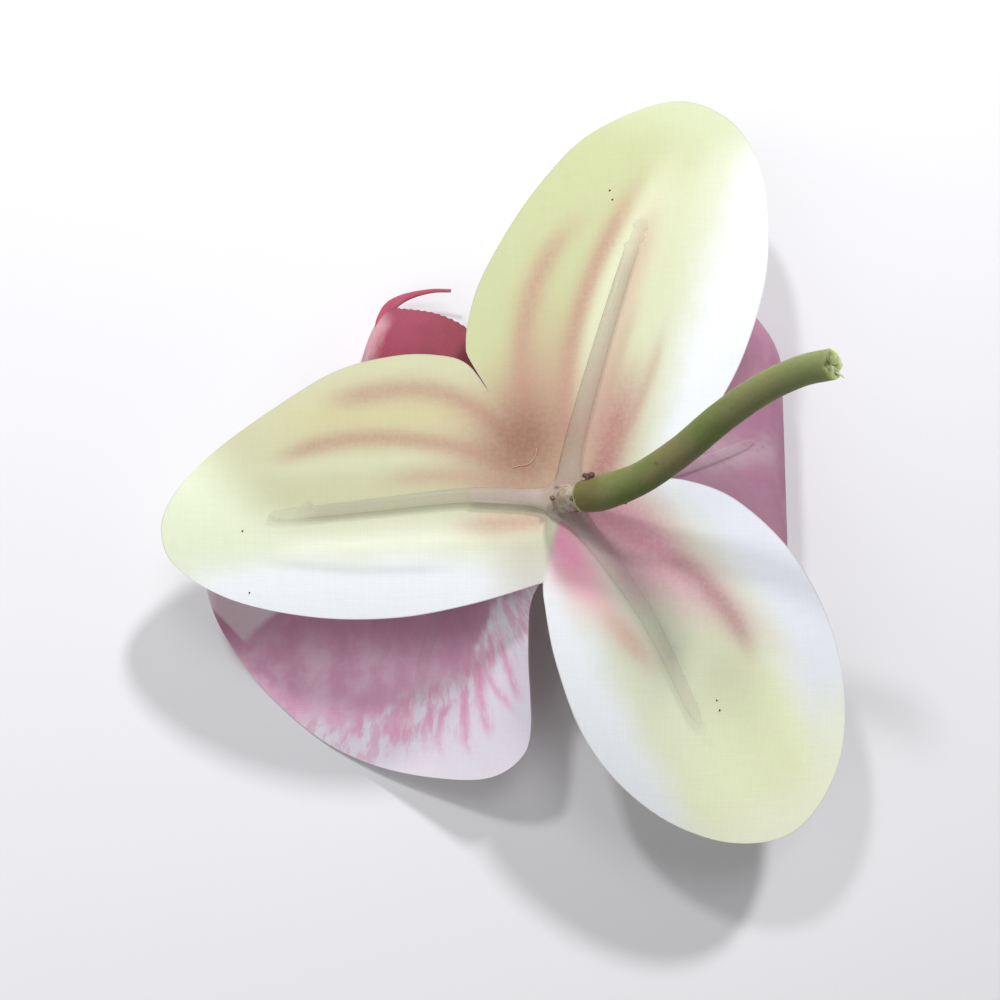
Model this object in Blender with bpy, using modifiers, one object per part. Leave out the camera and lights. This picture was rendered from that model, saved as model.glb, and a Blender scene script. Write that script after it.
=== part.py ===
"""Artificial moth orchid bloom, picked with a short cut stem, lying face down on a table.

Seen from above it shows its back: a three-lobed sepal sheet with a clear moulded rib on it,
a two-lobed petal sheet with its own rib below, the lip sheet, a moulded column whose pin
holds the layers together, and the green stem pushed over the end of that pin.

Lengths are in millimetres and are turned into metres where the vertices are made.
Plan places are measured from the pin's axis, with +X to the right and +Z away from the table.
"""

from math import atan2, cos, degrees, exp, hypot, pi, radians, sin, sqrt

import bmesh
import bpy
from mathutils import Matrix, Vector

MM = 0.001

# Place of the pin's axis in the part's frame, whose origin is the middle of the part's foot
PIN_X = 8.1
PIN_Y = -4.0

# Sheets, ribs and the gap kept between neighbours
CLOTH = 0.6
GAP = 0.3
CONE_GAP = 0.2
HOLE_RADIUS = 1.2
PIN_RADIUS = 0.9
SEPAL_RIB_PLATE = 0.9
PETAL_RIB_PLATE = 0.8

# Heights of the sheets' middles at the pin
SEPAL_Z = 24.0
PETAL_Z = SEPAL_Z - CLOTH - 2 * GAP - PETAL_RIB_PLATE
LIP_Z = PETAL_Z - CLOTH - GAP - CONE_GAP
REST_Z = CLOTH / 2
LIP_FOOT_Z = 0.06

# Sepal sheet: directions of the lobes and of the slits between them, in degrees
SEPAL_LENGTH = 53.0
SEPAL_DIRECTIONS = (72.6, 184.0, 302.3)
SEPAL_SLITS = ((124.8, 17.0), (255.2, 11.0), (374.0, 10.6))
SEPAL_DROOP = (7.5, 8.0, 7.0)
SEPAL_SEAM_DROOP = 17.0

# Outlines of the sepal lobes from slit to slit, as (along the lobe, across it)
SEPAL_OUTLINES = (
    ((10.8, -12.0), (16.4, -15.0), (26.0, -17.0), (38.0, -16.8), (49.4, -13.0), (55.3, -7.6), (56.6, -0.6),
     (53.6, 5.4), (47.6, 11.5), (41.0, 14.9), (33.4, 17.4), (24.6, 19.1), (18.8, 19.0), (14.9, 17.6)),
    ((11.4, -18.6), (15.2, -20.1), (21.0, -20.5), (29.0, -19.1), (38.3, -14.4), (47.0, -9.0), (52.4, -4.0),
     (54.3, 0.6), (52.5, 5.4), (45.0, 10.2), (34.0, 13.1), (23.0, 13.8), (13.0, 12.6)),
    ((9.6, -9.2), (17.0, -12.1), (27.0, -14.3), (36.0, -13.8), (44.6, -10.6), (51.4, -4.7),
     (54.3, 3.0), (50.6, 11.5), (43.0, 17.6), (33.0, 21.3), (22.0, 21.8), (12.0, 19.0), (6.0, 14.4)),
)

# Petal sheet: directions of the two lobes, and one outline that both share as mirror images
PETAL_DIRECTIONS = (222.0, 365.0)
PETAL_WAISTS = ((113.5, 5.5), (293.5, 5.8))
PETAL_OUTLINE = ((7.6, -7.4), (18.0, -15.5), (29.0, -24.5), (37.4, -27.8), (44.4, -26.6), (48.8, -20.6),
                 (50.8, -11.5), (50.8, -3.5), (49.2, 4.6), (45.4, 12.0), (39.8, 18.2), (34.0, 22.4),
                 (28.6, 23.1), (24.2, 20.8), (16.5, 11.6), (10.6, 6.4))
PETAL_TIPS = ((0.38, 0.66), (0.34, 0.62))
PETAL_CENTRE_SLOPE = 0.08
PETAL_BLEND = (5.8, 15.0)
LOW_PETAL_REACH = 51.0
LOW_PETAL_CUP = 0.004
LOW_PETAL_EVEN_FALL = 0.35
LOW_PETAL_PRESS = 0.1
ROLL_START = 2.0
ROLL_LENGTH = 50.0
ROLL_STEPS = 50
ROLL_ANGLES = (7.0, 220.0)
ROLL_POWER = 3.1
ROLL_TAPER = 0.075
ROLL_TAPER_FROM = 18.0
ROLL_TAPER_RISE = (10.0, 36.0)

# Lip sheet: direction, flat outline of one half, and its bend as (reach, height)
LIP_DIRECTION = 141.0
LIP_OUTLINE = ((-3.6, 0.0), (-2.6, 2.5), (2.6, 3.2), (6.6, 7.6), (11.0, 9.8), (16.0, 8.2), (20.5, 7.4),
               (25.5, 10.4), (29.5, 12.0), (34.0, 10.6), (39.0, 7.6), (42.0, 6.2), (44.6, 3.5), (45.4, 0.0))
LIP_BEND = ((0.0, LIP_Z), (4.0, LIP_Z - 0.3), (8.0, LIP_Z - 2.0), (12.5, LIP_Z - 6.2), (18.0, 10.8),
            (25.0, 7.9), (31.0, 6.9), (35.2, 5.2), (37.0, 2.6), (36.8, 0.0))
LIP_BEND_STEPS = 120
LIP_LEAN = 0.032
LIP_LEAN_FROM = -6.0
LIP_LEAN_RISE = (20.0, 35.0)
LIP_ARCH = ((0.0, 60.0), (5.0, 14.0), (10.0, 8.0), (18.0, 10.0), (28.0, 17.0), (40.0, 24.0), (48.0, 40.0))

# Tendrils at the lip's front corners, as (reach, across, height, radius) past their roots in the sheet
TENDRIL_ROOTS = ((37.4, 5.2), (40.0, 5.6))
TENDRIL_PATH = ((36.9, 7.0, 2.7, 0.62), (35.9, 8.9, 2.9, 0.56), (34.8, 10.5, 3.1, 0.46),
                (33.2, 12.2, 3.4, 0.36), (31.1, 14.0, 3.9, 0.30))
TENDRIL_SEGMENTS = 12

# Clear ribs: centre lines in plan, half widths at the hub and at the end
SEPAL_ARMS = (((0.3, 1.5), (1.2, 7.5), (4.6, 19.5), (8.0, 30.5), (9.9, 36.3)),
              ((-1.5, 0.1), (-12.2, 0.6), (-24.0, -0.6), (-33.5, -1.6), (-38.6, -2.0)),
              ((0.8, -1.4), (5.8, -7.9), (11.1, -15.9), (15.9, -25.5), (18.2, -29.9)))
PETAL_ARMS = (((-1.0, -1.2), (-9.4, -8.6), (-15.4, -14.4), (-18.5, -20.8), (-20.2, -29.0)),
              ((1.5, 0.3), (11.0, 2.8), (19.4, 5.4), (26.8, 8.0)))
ARM_HALF_WIDTHS = (1.35, 0.95)
ARM_FLARE = 1.2
ARM_FLARE_REACH = 1.6
ARM_ROUND_END = (0.9, 1.04)
PETAL_ARM_HALF_WIDTHS = (1.2, 0.8)
ARM_BEVEL = 0.22
HUB_RADIUS = 2.9
BOSS_RADIUS = 1.65
BOSS_SUNK = 0.2

# Pin: upright through the layers, then bent over towards the stem
PIN_FOOT_Z = 16.0
PIN_BEND_Z = 25.0
PIN_BEND_RADIUS = 3.0
PIN_BEND_ANGLE = radians(52)
PIN_BEND_DIRECTION = radians(12)
PIN_END_LENGTH = 4.2
BOSS_END_LENGTH = 0.9
BORE_EXTRA = 0.4
BORE_START = 3.5

# Column on the face side: (radius, height) down its outline
COLUMN_TOP_Z = LIP_Z - CLOTH / 2 - GAP
COLUMN_PROFILE = ((0.0, 0.0), (2.5, 0.0), (2.6, -0.5), (1.7, -1.3), (1.5, -3.0), (1.9, -4.8),
                  (2.3, -6.2), (2.2, -7.2), (1.4, -8.0), (0.0, -8.3))

# Stem: centre line from the boss to the cut end, with the radius at each point, and the tear of
# the cut end as waves round it: (count, height, start)
STEM_PATH = ((8.6, 2.6, 32.5, 1.80), (12.9, 5.7, 36.0, 1.86), (16.8, 9.3, 39.8, 1.84),
             (20.6, 12.2, 43.5, 1.78), (24.1, 13.9, 46.8, 1.72), (26.9, 14.4, 49.6, 1.70))
STEM_START_RADIUS = 1.72
STEM_SEGMENTS = 26
CUT_ROUGHNESS = 0.2
CUT_WAVES = ((3, 1.0, 0.8), (7, 0.7, 0.0))

# Mesh density: rows along a lobe and columns across it
SEAM_ROWS = 3
SIDE_ROWS = 13
LOBE_COLUMNS = 10
PETAL_SIDE_ROWS = 18
PETAL_COLUMNS = 12
LIP_ROWS = 22
LIP_COLUMNS = 8
ARM_ROWS = 16
BEND_SEGMENTS = 8
PIN_SEGMENTS = 14
COLUMN_SIDES = 20

SEPAL_COLOUR = (0.72, 0.76, 0.50, 1)
PETAL_COLOUR = (0.55, 0.26, 0.38, 1)
LIP_COLOUR = (0.45, 0.07, 0.12, 1)
RIB_COLOUR = (0.62, 0.62, 0.54, 1)
COLUMN_COLOUR = (0.80, 0.74, 0.72, 1)
STEM_COLOUR = (0.20, 0.26, 0.08, 1)


def clear_scene():
    """Removes whatever the file started with."""
    for obj in list(bpy.data.objects):
        bpy.data.objects.remove(obj, do_unlink=True)


def smoothstep(low, high, value):
    """Goes from 0 at low to 1 at high with level ends."""
    t = min(max((value - low) / (high - low), 0.0), 1.0)
    return t * t * (3 - 2 * t)


def spline_point(before, start, end, after, t):
    """Point at t on the Catmull-Rom stretch from start to end."""
    return tuple(
        0.5 * (2 * b + (c - a) * t + (2 * a - 5 * b + 4 * c - d) * t * t + (3 * b - a - 3 * c + d) * t ** 3)
        for a, b, c, d in zip(before, start, end, after))


def smooth_run(points, count, steps=24):
    """Places count + 1 evenly spaced points on the smooth curve through the given ones."""
    first = tuple(2 * a - b for a, b in zip(points[0], points[1]))
    last = tuple(2 * a - b for a, b in zip(points[-1], points[-2]))
    run = [first, *points, last]
    fine = [tuple(points[0])]
    for i in range(len(points) - 1):
        fine += [spline_point(*run[i:i + 4], (k + 1) / steps) for k in range(steps)]
    return even_run(fine, count)


def even_run(points, count):
    """Spaces count + 1 points evenly along a polyline."""
    reach = [0.0]
    for a, b in zip(points, points[1:]):
        reach.append(reach[-1] + sqrt(sum((q - p) ** 2 for p, q in zip(a, b))))
    run = []
    k = 0
    for i in range(count + 1):
        goal = reach[-1] * i / count
        while k < len(points) - 2 and reach[k + 1] < goal:
            k += 1
        t = (goal - reach[k]) / max(reach[k + 1] - reach[k], 1e-9)
        run.append(tuple(a + (b - a) * t for a, b in zip(points[k], points[k + 1])))
    return run


def table_value(table, x):
    """Reads a value off a list of (x, value) pairs with level eased steps between them."""
    for (x0, v0), (x1, v1) in zip(table, table[1:]):
        if x <= x1:
            return v0 + (v1 - v0) * smoothstep(x0, x1, x)
    return table[-1][1]


def turned(point, angle):
    """Turns a lobe's (along, across) into plan (x, y), with the lobe pointing to angle."""
    along, across = point
    return (along * cos(angle) - across * sin(angle), along * sin(angle) + across * cos(angle))


def polar(angle, radius):
    """Plan point at an angle in degrees and a radius."""
    return (radius * cos(radians(angle)), radius * sin(radians(angle)))


def lobe_patch(outline, low_slit, high_slit, side_rows, columns, tip=(0.40, 0.60)):
    """Spreads a four-sided patch of plan points over a lobe.

    Its foot is the arc of the pin's hole, its sides are the seams to the neighbouring lobes
    and then the lobe's edges, and its head is the edge round the tip.
    """
    edge = [polar(*low_slit), *outline, polar(*high_slit)]
    fine_count = 400
    fine = smooth_run(edge, fine_count)
    first, last = round(tip[0] * fine_count), round(tip[1] * fine_count)
    sides = []
    for slit, stretch in ((low_slit, fine[:first + 1]), (high_slit, fine[last:][::-1])):
        seam = even_run([polar(slit[0], HOLE_RADIUS), polar(*slit)], SEAM_ROWS)
        sides.append(seam[:-1] + even_run(stretch, side_rows))
    head = even_run(fine[first:last + 1], columns)
    foot = [polar(low_slit[0] + (high_slit[0] - low_slit[0]) * j / columns, HOLE_RADIUS)
            for j in range(columns + 1)]
    return coons(foot, head, *sides)


def coons(foot, head, left, right):
    """Fills the space between four runs of plan points with rows that follow them."""
    rows, columns = len(left) - 1, len(foot) - 1
    patch = []
    for i in range(rows + 1):
        u = i / rows
        row = []
        for j in range(columns + 1):
            v = j / columns
            row.append(tuple(
                (1 - v) * left[i][n] + v * right[i][n] + (1 - u) * foot[j][n] + u * head[j][n]
                - (1 - u) * ((1 - v) * left[0][n] + v * right[0][n])
                - u * ((1 - v) * left[-1][n] + v * right[-1][n])
                for n in (0, 1)))
        patch.append(row)
    return patch


def sepal_phase(angle):
    """Which lobe an angle belongs to, and how far it is across it: 0 on the rib, pi on a seam."""
    for k, direction in enumerate(SEPAL_DIRECTIONS):
        low = SEPAL_SLITS[k - 1][0] - (360 if k == 0 else 0)
        high = SEPAL_SLITS[k][0]
        turn = (angle - low) % 360
        if turn <= high - low:
            turn += low - direction
            return k, pi * turn / (high - direction if turn > 0 else direction - low)
    return 0, pi


def sepal_height(x, y):
    """Height of the middle of the sepal sheet over a plan point."""
    lobe, phase = sepal_phase(degrees(atan2(y, x)))
    reach = hypot(x, y) / SEPAL_LENGTH
    side = (1 - cos(phase)) / 2
    return SEPAL_Z - reach ** 2 * (SEPAL_DROOP[lobe] * (1 - side) + SEPAL_SEAM_DROOP * side)


def sepal_place(x, y, lobe=0):
    """Place in space of a plan point of the sepal sheet."""
    return Vector((x, y, sepal_height(x, y)))


def roll_profile():
    """Reach and drop of the rolled petal at even steps of its cloth, until it lies flat again."""
    step = ROLL_LENGTH / ROLL_STEPS
    low, high = ROLL_ANGLES
    reach, drop = ROLL_START, 0.0
    run = [(reach, drop)]
    for k in range(ROLL_STEPS):
        angle = min(radians(low + (high - low) * ((k + 0.5) / ROLL_STEPS) ** ROLL_POWER), pi)
        reach += cos(angle) * step
        drop += sin(angle) * step
        run.append((reach, drop))
    return run


ROLL = roll_profile()


def rolled_petal(x, y):
    """The right petal: rolled down to the table about an axis along Y."""
    t = min(max((x - ROLL_START) / ROLL_LENGTH, 0.0), 1.0) * ROLL_STEPS
    k = min(int(t), ROLL_STEPS - 1)
    (r0, d0), (r1, d1) = ROLL[k], ROLL[k + 1]
    reach = r0 + (r1 - r0) * (t - k) if x > ROLL_START else x
    drop = d0 + (d1 - d0) * (t - k)
    taper = ROLL_TAPER * max(y - ROLL_TAPER_FROM, 0.0) ** 2 * smoothstep(*ROLL_TAPER_RISE, x)
    return Vector((reach - taper, y, max(PETAL_Z - drop, REST_Z)))


def low_petal(x, y):
    """The lower left petal: slopes down to the table, its side corners lifted."""
    angle = radians(-PETAL_DIRECTIONS[0])
    along, across = turned((x, y), angle)
    t = min(max(along / LOW_PETAL_REACH, 0.0), 1.0)
    fall = LOW_PETAL_EVEN_FALL * t + (1 - LOW_PETAL_EVEN_FALL) * smoothstep(0.0, 1.0, t)
    height = PETAL_Z - (PETAL_Z - REST_Z + LOW_PETAL_PRESS) * fall + LOW_PETAL_CUP * across ** 2
    return Vector((x, y, max(height, REST_Z)))


def petal_place(x, y, lobe=0):
    """Place in space of a plan point of the petal sheet."""
    radius = hypot(x, y)
    centre = Vector((x, y, PETAL_Z - PETAL_CENTRE_SLOPE * radius))
    petal = rolled_petal(x, y) if lobe else low_petal(x, y)
    return centre.lerp(petal, smoothstep(*PETAL_BLEND, radius))


def lip_profile():
    """Reach and height of the lip's middle line at even steps of its cloth."""
    return smooth_run(LIP_BEND, LIP_BEND_STEPS)


LIP_MIDDLE = lip_profile()
LIP_CLOTH_LENGTH = sum(hypot(b[0] - a[0], b[1] - a[1]) for a, b in zip(LIP_MIDDLE, LIP_MIDDLE[1:]))


def lip_lean(across):
    """How far the lip's front falls back at a distance across it."""
    return LIP_LEAN * max(across - LIP_LEAN_FROM, 0.0) ** 2


def lip_place(along, across):
    """Place in space of a point of the flat lip."""
    t = min(max(along / LIP_CLOTH_LENGTH, 0.0), 1.0) * (len(LIP_MIDDLE) - 1)
    k = min(int(t), len(LIP_MIDDLE) - 2)
    (r0, z0), (r1, z1) = LIP_MIDDLE[k], LIP_MIDDLE[k + 1]
    reach = r0 + (r1 - r0) * (t - k) if along > 0 else along
    reach -= lip_lean(across) * smoothstep(*LIP_LEAN_RISE, along)
    height = z0 + (z1 - z0) * (t - k)
    radius = table_value(LIP_ARCH, along)
    side = radius * sin(across / radius)
    drop = radius * (1 - cos(across / radius))
    x, y = turned((reach, side), radians(LIP_DIRECTION))
    return Vector((x, y, max(height - drop, LIP_FOOT_Z)))


def material(name, colour, roughness, transmission=0.0):
    """A plain principled material."""
    mat = bpy.data.materials.new(name)
    mat.use_nodes = True
    shader = mat.node_tree.nodes["Principled BSDF"]
    shader.inputs["Base Color"].default_value = colour
    shader.inputs["Roughness"].default_value = roughness
    shader.inputs["Metallic"].default_value = 0.0
    shader.inputs["Transmission Weight"].default_value = transmission
    return mat


def add_object(name, mesh, mat, collection, parent):
    """Puts a mesh in the collection as a named object under the bloom's empty."""
    mesh.materials.clear()
    mesh.materials.append(mat)
    obj = bpy.data.objects.new(name, mesh)
    collection.objects.link(obj)
    obj.parent = parent
    return obj


def sheet_mesh(name, patches, place):
    """Joins grids, each bent over its patch of plan points, into one open triangulated sheet."""
    bm = bmesh.new()
    for lobe, patch in enumerate(patches):
        rows, columns = len(patch) - 1, len(patch[0]) - 1
        grid = bmesh.ops.create_grid(bm, x_segments=columns, y_segments=rows, size=1)
        for vert in grid["verts"]:
            j = round((vert.co.x + 1) / 2 * columns)
            i = round((vert.co.y + 1) / 2 * rows)
            vert.co = place(*patch[i][j], lobe) * MM
    bmesh.ops.remove_doubles(bm, verts=bm.verts, dist=0.001 * MM)
    bmesh.ops.recalc_face_normals(bm, faces=bm.faces)
    if sum(face.normal.z * face.calc_area() for face in bm.faces) < 0:
        bmesh.ops.reverse_faces(bm, faces=bm.faces)
    bmesh.ops.triangulate(bm, faces=bm.faces)
    mesh = bpy.data.meshes.new(name)
    bm.to_mesh(mesh)
    bm.free()
    mesh.shade_smooth()
    return mesh


def thicken(obj, thickness, offset):
    """Gives an open sheet its thickness."""
    solid = obj.modifiers.new("thickness", "SOLIDIFY")
    solid.thickness = thickness * MM
    solid.offset = offset


def baked(obj):
    """Replaces an object's mesh by the one its modifiers give."""
    depsgraph = bpy.context.evaluated_depsgraph_get()
    mesh = bpy.data.meshes.new_from_object(obj.evaluated_get(depsgraph))
    obj.modifiers.clear()
    obj.data = mesh


def boolean(obj, tool, operation):
    """Joins a tool to an object, or cuts it out of it, and removes the tool."""
    change = obj.modifiers.new(operation.lower(), "BOOLEAN")
    change.operation = operation
    change.solver = "EXACT"
    change.object = tool
    baked(obj)
    bpy.data.objects.remove(tool, do_unlink=True)


def tube(name, path, radii, collection, parent, sides=2):
    """A round bar along a run of points, made a mesh with its caps welded on."""
    curve = bpy.data.curves.new(name, "CURVE")
    curve.dimensions = "3D"
    curve.bevel_depth = MM
    curve.bevel_resolution = sides
    curve.use_fill_caps = True
    spline = curve.splines.new("POLY")
    spline.points.add(len(path) - 1)
    for point, place, radius in zip(spline.points, path, radii):
        point.co = (*(Vector(place) * MM), 1)
        point.radius = radius
    source = bpy.data.objects.new(name + "_line", curve)
    collection.objects.link(source)
    depsgraph = bpy.context.evaluated_depsgraph_get()
    mesh = bpy.data.meshes.new_from_object(source.evaluated_get(depsgraph))
    bm = bmesh.new()
    bm.from_mesh(mesh)
    bmesh.ops.remove_doubles(bm, verts=bm.verts, dist=0.001 * MM)
    bmesh.ops.recalc_face_normals(bm, faces=bm.faces)
    bm.to_mesh(mesh)
    bm.free()
    obj = bpy.data.objects.new(name, mesh)
    collection.objects.link(obj)
    obj.parent = parent
    bpy.data.objects.remove(source, do_unlink=True)
    return obj


def pin_point(length):
    """Point of the pin's centre line, length millimetres past the start of its bend."""
    arc = PIN_BEND_RADIUS * PIN_BEND_ANGLE
    turn = min(max(length, 0.0), arc) / PIN_BEND_RADIUS
    run = max(length - arc, 0.0)
    out = PIN_BEND_RADIUS * (1 - cos(turn)) + run * sin(PIN_BEND_ANGLE)
    rise = PIN_BEND_RADIUS * sin(turn) + run * cos(PIN_BEND_ANGLE) + min(length, 0.0)
    return (out * cos(PIN_BEND_DIRECTION), out * sin(PIN_BEND_DIRECTION), PIN_BEND_Z + rise)


def pin_run(start, end, count):
    """Points of the pin's centre line between two lengths along it."""
    return [pin_point(start + (end - start) * i / count) for i in range(count + 1)]


BEND_LENGTH = PIN_BEND_RADIUS * PIN_BEND_ANGLE
BOSS_END = BEND_LENGTH + BOSS_END_LENGTH
PIN_END = BEND_LENGTH + PIN_END_LENGTH


def arm_patch(line, widths, flare):
    """A strip of plan points along a rib's arm, wider at the hub and rounded at its end."""
    run = smooth_run(line, ARM_ROWS)
    reach = [hypot(x, y) for x, y in run]
    patch = []
    for i, (x, y) in enumerate(run):
        after, before = run[min(i + 1, ARM_ROWS)], run[max(i - 1, 0)]
        heading = atan2(after[1] - before[1], after[0] - before[0])
        t = i / ARM_ROWS
        half = widths[0] + (widths[1] - widths[0]) * t
        half += flare * exp(-(reach[i] - reach[0]) / ARM_FLARE_REACH)
        half *= sqrt(1 - smoothstep(*ARM_ROUND_END, t))
        patch.append([(x + side * half * sin(heading), y - side * half * cos(heading)) for side in (-1, 1)])
    return patch


def lifted(place, x, y, lobe, lift, step=0.05):
    """Place in space a little way off a sheet's middle, square to its surface."""
    here = place(x, y, lobe)
    normal = (place(x + step, y, lobe) - here).cross(place(x, y + step, lobe) - here).normalized()
    return here + normal * lift


def rib_object(name, arms, widths, place, base_z, plate, mat, collection, parent):
    """A clear rib: arms that follow the cloth below, joined by a plate round the pin."""
    lift = CLOTH / 2 + GAP
    mesh = disc_mesh(name, HUB_RADIUS, base_z + lift, plate)
    hub = add_object(name, mesh, mat, collection, parent)
    for lobe, line in enumerate(arms):
        patch = arm_patch(line, widths, ARM_FLARE)
        mesh = sheet_mesh(f"{name}_arm", [patch], lambda x, y, _, k=lobe: lifted(place, x, y, k, lift))
        arm = add_object(f"{name}_arm", mesh, mat, collection, parent)
        thicken(arm, plate, 1)
        round_edges(arm, ARM_BEVEL)
        baked(arm)
        boolean(hub, arm, "UNION")
    return hub


def round_edges(obj, width):
    """Takes the sharp edge off a solid's rim."""
    bevel = obj.modifiers.new("rounded", "BEVEL")
    bevel.width = width * MM
    bevel.segments = 1
    bevel.limit_method = "ANGLE"
    bevel.angle_limit = radians(60)


def disc_mesh(name, radius, low, thickness, sides=24):
    """A flat round plate whose underside is at low."""
    bm = bmesh.new()
    bmesh.ops.create_cone(bm, cap_ends=True, segments=sides, radius1=radius * MM, radius2=radius * MM,
                          depth=thickness * MM, matrix=Matrix.Translation((0, 0, (low + thickness / 2) * MM)))
    mesh = bpy.data.meshes.new(name)
    bm.to_mesh(mesh)
    bm.free()
    return mesh


def build_sepals(mat, collection, parent):
    """The three-lobed sepal sheet, one piece of cloth with a hole for the pin."""
    patches = []
    for k, direction in enumerate(SEPAL_DIRECTIONS):
        outline = [turned(point, radians(direction)) for point in SEPAL_OUTLINES[k]]
        low_angle, low_radius = SEPAL_SLITS[k - 1]
        low = (low_angle - (360 if k == 0 else 0), low_radius)
        patches.append(lobe_patch(outline, low, SEPAL_SLITS[k], SIDE_ROWS, LOBE_COLUMNS))
    mesh = sheet_mesh("sepal_fabric", patches, sepal_place)
    sheet = add_object("sepal_fabric", mesh, mat, collection, parent)
    thicken(sheet, CLOTH, 0)


def build_petals(mat, collection, parent):
    """The two-lobed petal sheet below the sepals."""
    low_waist, high_waist = PETAL_WAISTS
    outlines = ([turned(point, radians(PETAL_DIRECTIONS[0])) for point in PETAL_OUTLINE],
                [turned((a, -b), radians(PETAL_DIRECTIONS[1])) for a, b in reversed(PETAL_OUTLINE)])
    slits = ((low_waist, high_waist), (high_waist, (low_waist[0] + 360, low_waist[1])))
    patches = [lobe_patch(outline, low, high, PETAL_SIDE_ROWS, PETAL_COLUMNS, tip)
               for outline, (low, high), tip in zip(outlines, slits, PETAL_TIPS)]
    mesh = sheet_mesh("petal_fabric", patches, petal_place)
    sheet = add_object("petal_fabric", mesh, mat, collection, parent)
    thicken(sheet, CLOTH, 0)


def build_lip(mat, collection, parent):
    """The lip sheet, arched along its middle, with a curling tendril at each front corner."""
    edge = smooth_run(LIP_OUTLINE, LIP_ROWS)
    patch = [[(a, b * (1 - 2 * j / LIP_COLUMNS)) for j in range(LIP_COLUMNS + 1)] for a, b in edge]
    mesh = sheet_mesh("lip_fabric", [patch], lambda a, b, _: lip_place(a, b))
    lip = add_object("lip_fabric", mesh, mat, collection, parent)
    thicken(lip, CLOTH, 0)
    baked(lip)
    hole = tube("lip_hole", [(0, 0, LIP_Z - 2), (0, 0, LIP_Z + 2)], [HOLE_RADIUS] * 2, collection, parent)
    boolean(lip, hole, "DIFFERENCE")
    for side in (-1, 1):
        boolean(lip, tendril(side, collection, parent), "UNION")


def tendril(side, collection, parent):
    """One tapering tendril, its root sunk in a front corner of the lip."""
    root = [(*lip_place(a, side * b), TENDRIL_PATH[0][3]) for a, b in TENDRIL_ROOTS]
    free = []
    for reach, across, height, radius in TENDRIL_PATH:
        x, y = turned((reach - lip_lean(side * across), side * across), radians(LIP_DIRECTION))
        free.append((x, y, height, radius))
    run = smooth_run(root + free, TENDRIL_SEGMENTS)
    return tube("tendril", [p[:3] for p in run], [p[3] for p in run], collection, parent)


def build_sepal_ribs(mat, collection, parent):
    """The clear three-armed rib on the sepals' back, with the boss that the stem butts on."""
    hub = rib_object("sepal_ribs", SEPAL_ARMS, ARM_HALF_WIDTHS, sepal_place, SEPAL_Z, SEPAL_RIB_PLATE,
                     mat, collection, parent)
    boss = pin_run(-BOSS_SUNK, BOSS_END, BEND_SEGMENTS)
    boolean(hub, tube("boss", boss, [BOSS_RADIUS] * len(boss), collection, parent, 4), "UNION")
    cut_bore(hub, -BORE_START, BOSS_END + BORE_EXTRA, collection, parent)


def build_petal_ribs(mat, collection, parent):
    """The clear two-armed rib on the petals' back."""
    hub = rib_object("petal_ribs", PETAL_ARMS, PETAL_ARM_HALF_WIDTHS, petal_place, PETAL_Z, PETAL_RIB_PLATE,
                     mat, collection, parent)
    cut_bore(hub, -BORE_START, 0.0, collection, parent)


def cut_bore(obj, start, end, collection, parent):
    """Cuts the way for the pin out of a solid, along the pin's own centre line."""
    run = pin_run(start, end, BEND_SEGMENTS)
    boolean(obj, tube("bore", run, [HOLE_RADIUS] * len(run), collection, parent, 4), "DIFFERENCE")


def build_column(mat, collection, parent):
    """The moulded column on the face side, in one piece with the pin."""
    bm = bmesh.new()
    verts = [bm.verts.new((r * MM, 0, (COLUMN_TOP_Z + z) * MM)) for r, z in COLUMN_PROFILE]
    for a, b in zip(verts, verts[1:]):
        bm.edges.new((a, b))
    mesh = bpy.data.meshes.new("column")
    bm.to_mesh(mesh)
    bm.free()
    column = add_object("column", mesh, mat, collection, parent)
    turn = column.modifiers.new("turned", "SCREW")
    turn.steps = turn.render_steps = COLUMN_SIDES
    turn.use_merge_vertices = True
    turn.merge_threshold = 0.01 * MM
    turn.use_normal_calculate = True
    baked(column)
    run = pin_run(PIN_FOOT_Z - PIN_BEND_Z, PIN_END, PIN_SEGMENTS)
    boolean(column, tube("pin", run, [PIN_RADIUS] * len(run), collection, parent, 3), "UNION")
    column.data.shade_smooth()


def build_stem(mat, collection, parent):
    """The green stem, bored for the pin's end, its other end left as it was snipped."""
    start = [(*pin_point(BOSS_END + GAP), STEM_START_RADIUS), (*pin_point(PIN_END), STEM_START_RADIUS)]
    run = smooth_run(start + list(STEM_PATH), STEM_SEGMENTS)
    stem = tube("stem", [p[:3] for p in run], [p[3] for p in run], collection, parent, 4)
    stem.data.materials.append(mat)
    rough_cut(stem.data, Vector(run[-1][:3]), Vector(run[-1][:3]) - Vector(run[-2][:3]))
    cut_bore(stem, BOSS_END - BORE_EXTRA, PIN_END + BORE_EXTRA, collection, parent)
    stem.data.shade_smooth()


def rough_cut(mesh, centre, heading):
    """Tears the stem's far end face: one side stands out and the rim is uneven."""
    axis = heading.normalized()
    side = axis.cross(Vector((0, 0, 1))).normalized()
    rise = side.cross(axis)
    for vert in mesh.vertices:
        offset = vert.co / MM - centre
        if abs(offset.dot(axis)) < CUT_ROUGHNESS:
            turn = atan2(offset.dot(rise), offset.dot(side))
            tear = sum(height * sin(count * turn + start) for count, height, start in CUT_WAVES)
            vert.co += axis * CUT_ROUGHNESS * tear * MM


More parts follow.
